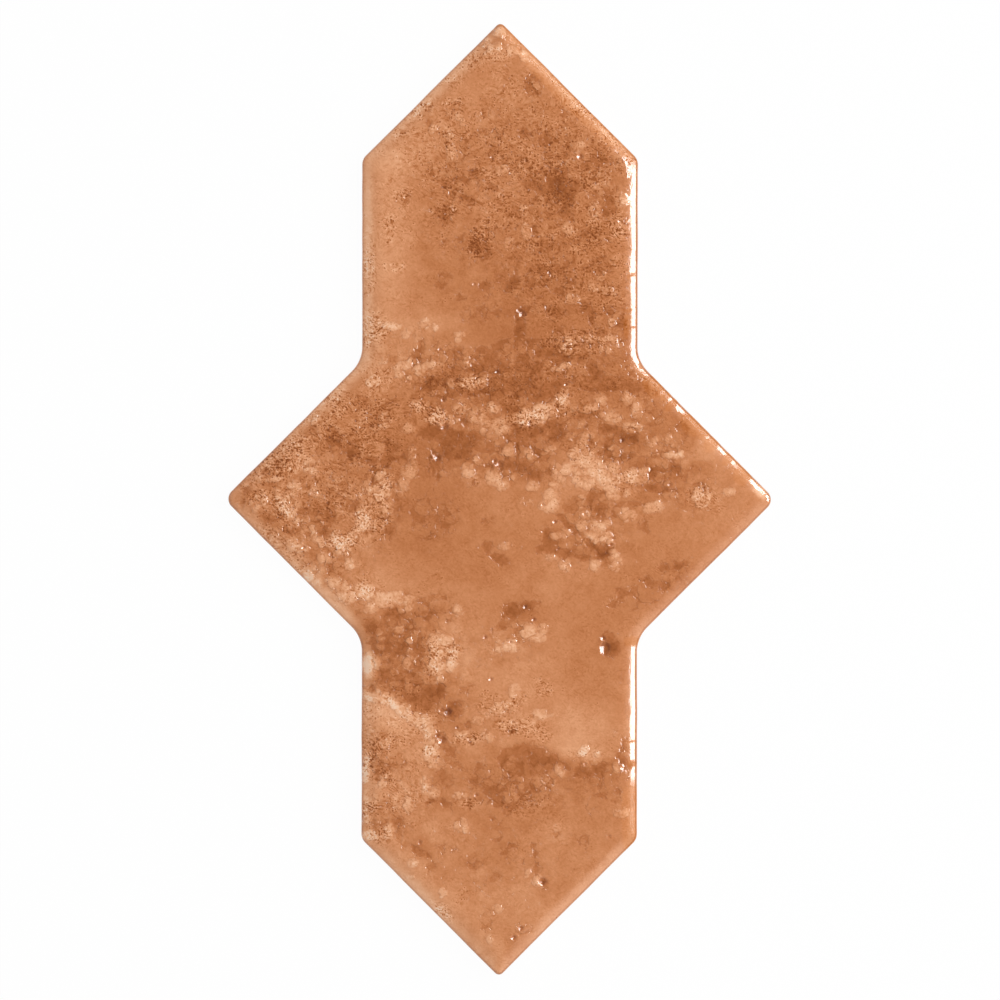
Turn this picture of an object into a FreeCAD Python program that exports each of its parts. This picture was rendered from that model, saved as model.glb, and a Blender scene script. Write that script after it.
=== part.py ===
"""Glazed porcelain cross tile with pointed ends, pressed and fired as one piece.

The outline is a slim bar with right-angled tips, crossed at its middle by a square set on its
corner. In the laid pattern the bars meet side to side, each tip side meets a neighbour's wing
side, and a shoulder sits in a notch.
One section is drawn for the whole edge: a taper at the back, an upright joint face, and a
cushion that rolls over to the flat field. It runs straight along every side and turns round
every corner. The back has a flat rim and square keying pockets, which the mortar grips.

Frame: millimetres, origin in the plane of the back, at the middle of the outline.
+Z points out of the glazed face, and +Y runs along the tile from tip to tip.
"""

import FreeCAD
import Part

import math
import os

Vector = FreeCAD.Vector
UP = Vector(0, 0, 1)

# Overall size, over the rounded corners
OVERALL_LENGTH = 238.0
OVERALL_WIDTH = 136.0
THICKNESS = 9.0

# Corner radii in plan, at the joint faces
TIP_RADIUS = 1.5
WING_RADIUS = 2.8
SHOULDER_RADIUS = 3.3
NOTCH_RADIUS = 8.5

# Turns of the outline, taken anticlockwise: to the right at a notch, to the left elsewhere
SQUARE_TURN = math.radians(90.0)
SHOULDER_TURN = math.radians(45.0)
NOTCH_TURN = math.radians(-45.0)

# Edge section: a taper at the back, and a cushion of two tangent arcs above the joint face
BACK_TAPER_HEIGHT = 2.0
BACK_TAPER_INSET = 0.7
ARRIS_RADIUS = 1.5
CROWN_RADIUS = 6.5
ARRIS_SWEEP = math.radians(45.0)

# Keying pockets in the back, in rows along the 45 degree sides
RIM_WIDTH = 6.0
RIB_WIDTH = 2.5
POCKET_DEPTH = 0.9
POCKET_DRAFT = math.radians(30.0)
POCKETS_FROM_MIDDLE_TO_RIM = 5
SMALLEST_POCKET_AREA = 12.0

# Where the cushion's two arcs meet and end, from the joint face in and from the back up
ARRIS_END_INSET = ARRIS_RADIUS * (1 - math.cos(ARRIS_SWEEP))
CUSHION_WIDTH = ARRIS_END_INSET + CROWN_RADIUS * math.cos(ARRIS_SWEEP)
ARRIS_END_Z = THICKNESS - CROWN_RADIUS * (1 - math.sin(ARRIS_SWEEP))
JOINT_FACE_TOP_Z = ARRIS_END_Z - ARRIS_RADIUS * math.sin(ARRIS_SWEEP)

# Sharp corners of the outline, worked out from the sizes over the rounded ones.
# The bar is half as wide as the wings, so that a tip side is as long as the wing side it meets.
SQUARE_CORNER_LOSS = math.sqrt(2.0) - 1.0
SHARP_TIP_Y = OVERALL_LENGTH / 2 + TIP_RADIUS * SQUARE_CORNER_LOSS
SHARP_WING_X = OVERALL_WIDTH / 2 + WING_RADIUS * SQUARE_CORNER_LOSS
HALF_BAR_WIDTH = SHARP_WING_X / 2
NOTCH_Y = SHARP_WING_X - HALF_BAR_WIDTH
SHOULDER_Y = SHARP_TIP_Y - HALF_BAR_WIDTH

# Pitch that ends a whole pocket against the rim along each wing side
WING_SIDE_FROM_MIDDLE = SHARP_WING_X / math.sqrt(2.0)
POCKET_PITCH = (WING_SIDE_FROM_MIDDLE - RIM_WIDTH + RIB_WIDTH / 2) / POCKETS_FROM_MIDDLE_TO_RIM
POCKET_SIDE = POCKET_PITCH - RIB_WIDTH


class Corner:
    """A corner of the outline: its sharp point, its radius, and the turn that the outline makes there."""

    def __init__(self, x, y, radius, turn):
        self.point = Vector(x, y, 0)
        self.radius = radius
        self.turn = turn
        self.convex = turn > 0
        self.tangent_length = radius * math.tan(abs(turn) / 2)


class Side:
    """A straight side, from the end of one corner's arc to the start of the next one's."""

    def __init__(self, start_corner, end_corner):
        self.start_corner = start_corner
        self.end_corner = end_corner
        self.along = (end_corner.point - start_corner.point).normalize()
        self.inward = UP.cross(self.along)
        self.start = start_corner.point + self.along * start_corner.tangent_length
        self.end = end_corner.point - self.along * end_corner.tangent_length

    def start_mitre(self, inset):
        """The start corner's sharp point, once both of its sides have moved in."""
        forward = inset * math.tan(self.start_corner.turn / 2)
        return self.start_corner.point + self.inward * inset + self.along * forward

    def end_mitre(self, inset):
        """The end corner's sharp point, once both of its sides have moved in."""
        back = inset * math.tan(self.end_corner.turn / 2)
        return self.end_corner.point + self.inward * inset - self.along * back

    def field_start(self):
        """Where the side's cushion meets the field at the start: at the mitre, or square to a notch's arc."""
        if self.start_corner.convex:
            return self.start_mitre(CUSHION_WIDTH)
        return self.start + self.inward * CUSHION_WIDTH

    def field_end(self):
        """Where the side's cushion meets the field at the end."""
        if self.end_corner.convex:
            return self.end_mitre(CUSHION_WIDTH)
        return self.end + self.inward * CUSHION_WIDTH

    def end_arc_centre(self):
        """Centre of the arc at the side's end: inside the tile, or outside it at a notch."""
        return self.end + self.inward * math.copysign(self.end_corner.radius, self.end_corner.turn)


def outline_sides():
    """The twelve sides, anticlockwise from the right wing."""
    notch = Corner(HALF_BAR_WIDTH, NOTCH_Y, NOTCH_RADIUS, NOTCH_TURN)
    shoulder = Corner(HALF_BAR_WIDTH, SHOULDER_Y, SHOULDER_RADIUS, SHOULDER_TURN)
    wing = Corner(SHARP_WING_X, 0, WING_RADIUS, SQUARE_TURN)
    tip = Corner(0, SHARP_TIP_Y, TIP_RADIUS, SQUARE_TURN)
    left_upper = [Corner(-c.point.x, c.point.y, c.radius, c.turn) for c in (shoulder, notch)]
    upper_half = [wing, notch, shoulder, tip] + left_upper
    lower_half = [Corner(-c.point.x, -c.point.y, c.radius, c.turn) for c in upper_half]
    corners = upper_half + lower_half
    return [Side(a, b) for a, b in zip(corners, corners[1:] + corners[:1])]


def flat_face(points):
    """A flat face with straight edges through the points."""
    return Part.Face(Part.makePolygon(points + points[:1]))


def edge_section(side, at, reach):
    """The edge's section as an upright face square to a side, from the joint face in to the reach."""

    def section_point(inset, z):
        return at + side.inward * inset + UP * z

    def arc(centre_inset, centre_z, radius, first, last):
        """An arc between two slopes, each the angle of its tangent above level."""
        slopes = first, (first + last) / 2, last
        points = [(centre_inset - radius * math.sin(a), centre_z + radius * math.cos(a)) for a in slopes]
        return Part.Arc(*[section_point(inset, z) for inset, z in points]).toShape()

    inner_slope = math.asin((CUSHION_WIDTH - reach) / CROWN_RADIUS)
    inner_z = THICKNESS - CROWN_RADIUS * (1 - math.cos(inner_slope))
    meeting_slope = math.pi / 2 - ARRIS_SWEEP
    arris = arc(ARRIS_RADIUS, JOINT_FACE_TOP_Z, ARRIS_RADIUS, math.pi / 2, meeting_slope)
    crown = arc(CUSHION_WIDTH, THICKNESS - CROWN_RADIUS, CROWN_RADIUS, meeting_slope, inner_slope)
    corners = [
        section_point(reach, inner_z),
        section_point(reach, 0),
        section_point(BACK_TAPER_INSET, 0),
        section_point(0, BACK_TAPER_HEIGHT),
        section_point(0, JOINT_FACE_TOP_Z),
    ]
    straights = [Part.LineSegment(a, b).toShape() for a, b in zip(corners, corners[1:])]
    return Part.Face(Part.Wire([arris, crown] + straights))


def straight_edge(side):
    """The edge section run along a side, cut to the side's own footprint."""
    footprint = [side.start, side.end]
    if side.end_corner.convex:
        footprint.append(side.end_arc_centre())
    footprint += [side.field_end(), side.field_start()]
    if side.start_corner.convex:
        footprint.append(side.start_mitre(side.start_corner.radius))
    section = edge_section(side, side.start_corner.point, CUSHION_WIDTH)
    run = section.extrude(side.end_corner.point - side.start_corner.point)
    return run.common(flat_face(footprint).extrude(UP * THICKNESS))


def turned_edge(side):
    """The edge section turned round the corner at a side's end."""
    corner = side.end_corner
    reach = corner.radius if corner.convex else CUSHION_WIDTH
    section = edge_section(side, side.end, reach)
    return section.revolve(side.end_arc_centre(), UP, math.degrees(corner.turn))


def field(sides):
    """The flat middle of the tile inside the cushion, from the back to the face."""
    edges = []
    for side, following in zip(sides, sides[1:] + sides[:1]):
        edges.append(Part.LineSegment(side.field_start(), side.field_end()).toShape())
        if not side.end_corner.convex:
            centre = side.end_arc_centre()
            spread = (side.inward + following.inward).normalize()
            middle = centre + spread * (side.end_corner.radius + CUSHION_WIDTH)
            edges.append(Part.Arc(side.field_end(), middle, following.field_start()).toShape())
    return Part.Face(Part.Wire(edges)).extrude(UP * THICKNESS)


def tapered_pocket(mouth):
    """A keying pocket as a flat-sided solid, its walls drafted in from the mouth to the floor."""
    shrink = POCKET_DEPTH * math.tan(POCKET_DRAFT)
    count = len(mouth)
    floor = []
    for i, point in enumerate(mouth):
        before = UP.cross((point - mouth[i - 1]).normalize())
        after = UP.cross((mouth[(i + 1) % count] - point).normalize())
        inset = (before + after) * (shrink / (1 + before.dot(after)))
        floor.append(point + inset + UP * POCKET_DEPTH)
    faces = [flat_face(mouth), flat_face(floor)]
    for i in range(count):
        following = (i + 1) % count
        faces.append(flat_face([mouth[i], mouth[following], floor[following], floor[i]]))
    return Part.Solid(Part.Shell(faces))


def keying_pockets(sides):
    """Every pocket inside the rim, on a square grid turned 45 degrees to the tile's length."""
    inside_rim = flat_face([side.end_mitre(RIM_WIDTH) for side in sides])
    spacing = POCKET_PITCH / math.sqrt(2.0)
    reach = POCKET_SIDE / math.sqrt(2.0)
    columns = math.ceil(SHARP_WING_X / spacing)
    rows = math.ceil(SHARP_TIP_Y / spacing)
    pockets = []
    for column in range(-columns, columns + 1):
        for row in range(-rows, rows + 1):
            # A rib crosses the middle of the tile, so the pockets stand on the odd places
            if (column + row) % 2 == 0:
                continue
            centre = Vector(column * spacing, row * spacing, 0)
            points = [Vector(reach, 0, 0), Vector(0, reach, 0), Vector(-reach, 0, 0), Vector(0, -reach, 0)]
            mouth = flat_face([centre + point for point in points]).common(inside_rim)
            if mouth.Area < SMALLEST_POCKET_AREA:
                continue
            pockets.append(tapered_pocket(anticlockwise_points(mouth)))
    return pockets


def anticlockwise_points(face):
    """The corner points of a flat face in the plane of the back, anticlockwise seen from above."""
    points = [vertex.Point for vertex in face.Faces[0].OuterWire.OrderedVertexes]
    doubled_area = sum(a.x * b.y - b.x * a.y for a, b in zip(points, points[1:] + points[:1]))
    return points if doubled_area > 0 else points[::-1]


def cross_tile():
    """The whole tile as one solid."""
    sides = outline_sides()
    edges = [straight_edge(side) for side in sides] + [turned_edge(side) for side in sides]
    body = field(sides).fuse(edges).removeSplitter()
    return body.cut(keying_pockets(sides))


os.makedirs("parts", exist_ok=True)
tile = cross_tile()
tile.exportStep("parts/cross_tile.step")
print("solids", len(tile.Solids), "faces", len(tile.Faces), "valid", tile.isValid())
print("volume, cubic centimetres", round(tile.Volume / 1000, 2))
print("joint faces, length in millimetres", [round((s.end - s.start).Length, 2) for s in outline_sides()])
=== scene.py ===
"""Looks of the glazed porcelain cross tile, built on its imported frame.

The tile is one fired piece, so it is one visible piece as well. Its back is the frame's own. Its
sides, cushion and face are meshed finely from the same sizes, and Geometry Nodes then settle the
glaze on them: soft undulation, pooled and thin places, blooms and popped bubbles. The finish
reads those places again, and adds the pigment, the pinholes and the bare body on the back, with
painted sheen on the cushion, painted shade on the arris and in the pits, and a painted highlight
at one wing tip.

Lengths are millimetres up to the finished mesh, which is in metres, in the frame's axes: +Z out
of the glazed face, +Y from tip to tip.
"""

import logging
import math
from collections.abc import Callable
from dataclasses import dataclass, field
from enum import Enum
from typing import ClassVar

import bmesh
import bpy
import numpy as np
from bpy.types import Node, NodeSocket
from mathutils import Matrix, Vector
from mathutils.geometry import area_tri, delaunay_2d_cdt


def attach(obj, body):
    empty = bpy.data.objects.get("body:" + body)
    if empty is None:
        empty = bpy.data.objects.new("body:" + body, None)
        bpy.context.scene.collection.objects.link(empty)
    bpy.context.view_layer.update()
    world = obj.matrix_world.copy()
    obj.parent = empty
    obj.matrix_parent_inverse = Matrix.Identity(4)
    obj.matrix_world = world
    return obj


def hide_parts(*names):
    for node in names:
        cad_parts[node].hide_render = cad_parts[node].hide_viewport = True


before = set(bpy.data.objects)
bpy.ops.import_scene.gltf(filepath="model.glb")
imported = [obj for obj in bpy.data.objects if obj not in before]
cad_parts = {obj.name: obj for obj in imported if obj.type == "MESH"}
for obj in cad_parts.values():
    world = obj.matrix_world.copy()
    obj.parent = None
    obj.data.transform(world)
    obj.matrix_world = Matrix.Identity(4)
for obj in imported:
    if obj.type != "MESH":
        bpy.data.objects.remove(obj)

log = logging.getLogger("cross_tile")

MM = 0.001
NODE = "cross_tile"
BODY = "root"
PIECE = "glazed_cross_tile"

# What rounding takes off a square corner, as a share of the radius
SQUARE_CORNER_LOSS = math.sqrt(2) - 1
WHITE = (1.0, 1.0, 1.0, 1.0)
IN_PLAN = (1.0, 1.0, 0.0)

# Attributes that the mesh carries from the press to the glaze and the finish
SKIN = "skin"
INSET = "inset"
PIT = "pit"
TONE = "tone"
POOL = "pool"
THIN = "thin"
BLOOM = "bloom"
SPECKLE = "speckle"
MATT = "matt"


def from_srgb(red: int, green: int, blue: int) -> tuple[float, float, float, float]:
    """Turns a colour as seen on a screen into the renderer's linear one.

    Args:
        red: Red, 0 to 255.
        green: Green, 0 to 255.
        blue: Blue, 0 to 255.

    Returns:
        The linear colour, opaque.
    """
    linear = []
    for part in (red, green, blue):
        share = part / 255
        linear.append(share / 12.92 if share <= 0.04045 else ((share + 0.055) / 1.055) ** 2.4)
    return (linear[0], linear[1], linear[2], 1.0)


def placed(name: str, data: bpy.types.ID) -> bpy.types.Object:
    """Puts an object into the scene.

    Args:
        name: Its name.
        data: Its mesh, light or camera.

    Returns:
        The object.
    """
    made = bpy.data.objects.new(name, data)
    bpy.context.scene.collection.objects.link(made)
    return made


class Value:
    """A number that a node gives out, so that sums on it can be written as Python expressions."""

    def __init__(self, sheet: "Sheet", socket: NodeSocket) -> None:
        """Keeps the socket and the sheet that it is on."""
        self.sheet = sheet
        self.socket = socket

    def _math(self, operation: str, *operands: "Value | float") -> "Value":
        """Adds one Math node."""
        return self.sheet.value("ShaderNodeMath", {"operation": operation}, dict(enumerate(operands)))

    def __add__(self, other: "Value | float") -> "Value":
        """Sum."""
        return self._math("ADD", self, other)

    def __radd__(self, other: float) -> "Value":
        """Sum, with the number first."""
        return self._math("ADD", other, self)

    def __sub__(self, other: "Value | float") -> "Value":
        """Difference."""
        return self._math("SUBTRACT", self, other)

    def __rsub__(self, other: float) -> "Value":
        """Difference, with the number first."""
        return self._math("SUBTRACT", other, self)

    def __mul__(self, other: "Value | float") -> "Value":
        """Product."""
        return self._math("MULTIPLY", self, other)

    def __rmul__(self, other: float) -> "Value":
        """Product, with the number first."""
        return self._math("MULTIPLY", other, self)

    def __truediv__(self, other: "Value | float") -> "Value":
        """Quotient."""
        return self._math("DIVIDE", self, other)

    def __pow__(self, other: float) -> "Value":
        """Power."""
        return self._math("POWER", self, other)

    def at_most(self, other: "Value | float") -> "Value":
        """The smaller of the two."""
        return self._math("MINIMUM", self, other)

    def at_least(self, other: "Value | float") -> "Value":
        """The larger of the two."""
        return self._math("MAXIMUM", self, other)

    def ramp(self, zero_at: float, one_at: float) -> "Value":
        """Rises smoothly from 0 to 1 between two values, or falls where the first is the larger.

        Args:
            zero_at: The value that gives 0, as do all past it.
            one_at: The value that gives 1, as do all past it.

        Returns:
            The smoothed step.
        """
        rising = one_at > zero_at
        low, high = (zero_at, one_at) if rising else (one_at, zero_at)
        sockets = {"Value": self, "From Min": low, "From Max": high}
        step = self.sheet.value("ShaderNodeMapRange", {"interpolation_type": "SMOOTHSTEP"}, sockets)
        return step if rising else 1.0 - step


class Sheet:
    """A node tree being drawn up, of either kind."""

    def __init__(self, tree: bpy.types.NodeTree) -> None:
        """Keeps the tree."""
        self.tree = tree

    @classmethod
    def blank(cls, owner: bpy.types.Material | bpy.types.World) -> "Sheet":
        """Clears a material's or a world's own tree and takes that.

        Args:
            owner: The material or the world.

        Returns:
            The empty sheet.
        """
        owner.use_nodes = True
        owner.node_tree.nodes.clear()
        return cls(owner.node_tree)

    def node(self, kind: str, settings: dict, sockets: dict) -> Node:
        """Adds a node.

        Args:
            kind: The node's type.
            settings: Its own settings, set before its sockets; stops are a ramp's colours.
            sockets: Values or links for its inputs, by name or by number.

        Returns:
            The node.
        """
        node = self.tree.nodes.new(kind)
        for name, setting in settings.items():
            if name == "stops":
                self._colour_stops(node.color_ramp, setting)
            else:
                setattr(node, name, setting)
        for key, given in sockets.items():
            socket = node.inputs[key]
            source = given.socket if isinstance(given, Value) else given
            if isinstance(source, NodeSocket):
                self.tree.links.new(source, socket)
            else:
                socket.default_value = source
        return node

    @staticmethod
    def _colour_stops(ramp: bpy.types.ColorRamp, stops: list) -> None:
        """Fills a colour ramp.

        Args:
            ramp: The ramp.
            stops: Pairs of a place, 0 to 1, and a linear colour.
        """
        while len(ramp.elements) < len(stops):
            ramp.elements.new(1.0)
        for element, (place, colour) in zip(ramp.elements, stops):
            element.position = place
            element.color = colour

    def value(self, kind: str, settings: dict, sockets: dict, output: str | int = 0) -> Value:
        """Adds a node for one of its outputs, which is a number."""
        return Value(self, self.node(kind, settings, sockets).outputs[output])

    def vector(self, operation: str, *operands: object) -> NodeSocket:
        """Adds a Vector Math node.

        Args:
            operation: Its operation.
            operands: Its inputs in order, or for SCALE the vector and the factor.

        Returns:
            The vector that it gives.
        """
        if operation == "SCALE":
            sockets = {0: operands[0], "Scale": operands[1]}
        else:
            sockets = dict(enumerate(operands))
        return self.node("ShaderNodeVectorMath", {"operation": operation}, sockets).outputs["Vector"]

    def parts(self, vector: NodeSocket) -> tuple[Value, Value, Value]:
        """The three numbers of a vector or a colour."""
        split = self.node("ShaderNodeSeparateXYZ", {}, {0: vector})
        return tuple(Value(self, split.outputs[axis]) for axis in "XYZ")

    def geometry(self, kind: str, settings: dict, sockets: dict) -> NodeSocket:
        """Adds a node for the geometry that it gives."""
        return self.node(kind, settings, sockets).outputs["Geometry"]

    def turned(self, at: NodeSocket, degrees: float, stretch: float) -> NodeSocket:
        """Turns a place in plan and then squeezes it, so that a pattern drawn there leans and is long.

        Args:
            at: The place, in millimetres.
            degrees: The turn.
            stretch: What its first part is multiplied by.

        Returns:
            The turned place.
        """
        sockets = {"Vector": at, "Angle": math.radians(degrees)}
        turned = self.node("ShaderNodeVectorRotate", {"rotation_type": "Z_AXIS"}, sockets)
        return self.vector("MULTIPLY", turned.outputs["Vector"], (stretch, 1.0, 1.0))

    def bump(self, height: Value) -> NodeSocket:
        """The normal of a surface with bumps of this height, in millimetres."""
        sockets = {"Strength": 1.0, "Distance": MM, "Height": height}
        return self.node("ShaderNodeBump", {}, sockets).outputs["Normal"]


@dataclass(frozen=True)
class Noise:
    """Fractal noise round zero."""

    size: float
    detail: float = 2.0
    rough: float = 0.5
    swirl: float = 0.0
    shift: tuple[float, float, float] | None = None
    # The node's numbers keep near their middle, so they are spread out to about -1 to 1
    spread: ClassVar[float] = 3.2

    def over(self, sheet: Sheet, at: NodeSocket) -> Value:
        """Draws the noise.

        Args:
            sheet: The tree to draw in.
            at: The place, in millimetres, as are the size of the largest cells and the shift.

        Returns:
            Noise of about -1 to 1.
        """
        moved = sheet.vector("ADD", at, self.shift) if self.shift else at
        sockets = {"Vector": moved, "Scale": 1 / self.size, "Detail": self.detail,
                   "Roughness": self.rough, "Distortion": self.swirl}
        drawn = sheet.value("ShaderNodeTexNoise", {"noise_dimensions": "3D"}, sockets)
        return (drawn - 0.5) * self.spread


@dataclass(frozen=True)
class Warp:
    """Moves a place about by noise, so that what is drawn there gets a ragged outline."""

    size: float
    reach: float
    detail: ClassVar[float] = 2.0
    rough: ClassVar[float] = 0.6

    def moved(self, sheet: Sheet, at: NodeSocket) -> NodeSocket:
        """Moves a place by up to the reach.

        Args:
            sheet: The tree to draw in.
            at: The place, in millimetres, as are the size of the noise and the reach.

        Returns:
            The moved place.
        """
        sockets = {"Vector": at, "Scale": 1 / self.size, "Detail": self.detail, "Roughness": self.rough}
        colour = sheet.node("ShaderNodeTexNoise", {"noise_dimensions": "3D"}, sockets).outputs["Color"]
        centred = sheet.vector("SUBTRACT", colour, (0.5, 0.5, 0.5))
        return sheet.vector("ADD", at, sheet.vector("SCALE", centred, 2.0 * self.reach))


@dataclass(frozen=True)
class Step:
    """A soft step in what a number adds: nothing up to one value, and the full amount from another."""

    none_at: float
    full_at: float
    amount: float

    def of(self, value: Value) -> Value:
        """What the number adds."""
        return value.ramp(self.none_at, self.full_at) * self.amount


@dataclass(frozen=True)
class Mark:
    """An oval place in the glaze, in millimetres from the middle of the tile."""

    x: float
    y: float
    half_length: float
    half_width: float
    strength: float = 1.0
    turn: float = 0.0

    @property
    def along(self) -> tuple[float, float, float]:
        """The direction of its length, divided by half of it."""
        angle = math.radians(self.turn)
        return (math.cos(angle) / self.half_length, math.sin(angle) / self.half_length, 0.0)

    @property
    def across(self) -> tuple[float, float, float]:
        """The direction of its width, divided by half of it."""
        angle = math.radians(self.turn)
        return (-math.sin(angle) / self.half_width, math.cos(angle) / self.half_width, 0.0)

    @property
    def size(self) -> float:
        """The radius of a round mark of the same area."""
        return math.sqrt(self.half_length * self.half_width)


class Layer(Enum):
    """What a mark does to the glaze."""

    TONE = "shifts the colour softly, darker below zero and paler above"
    POOL = "dark pooled glaze with a ragged, rather sharp shore"
    THIN = "pale thin glaze with a ragged, rather sharp shore"
    BLOOM = "where round pale blooms come up"
    SPECKLE = "where the glaze is pinholed and grained"
    MATT = "where the glaze is dull and mirrors nothing"


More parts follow.
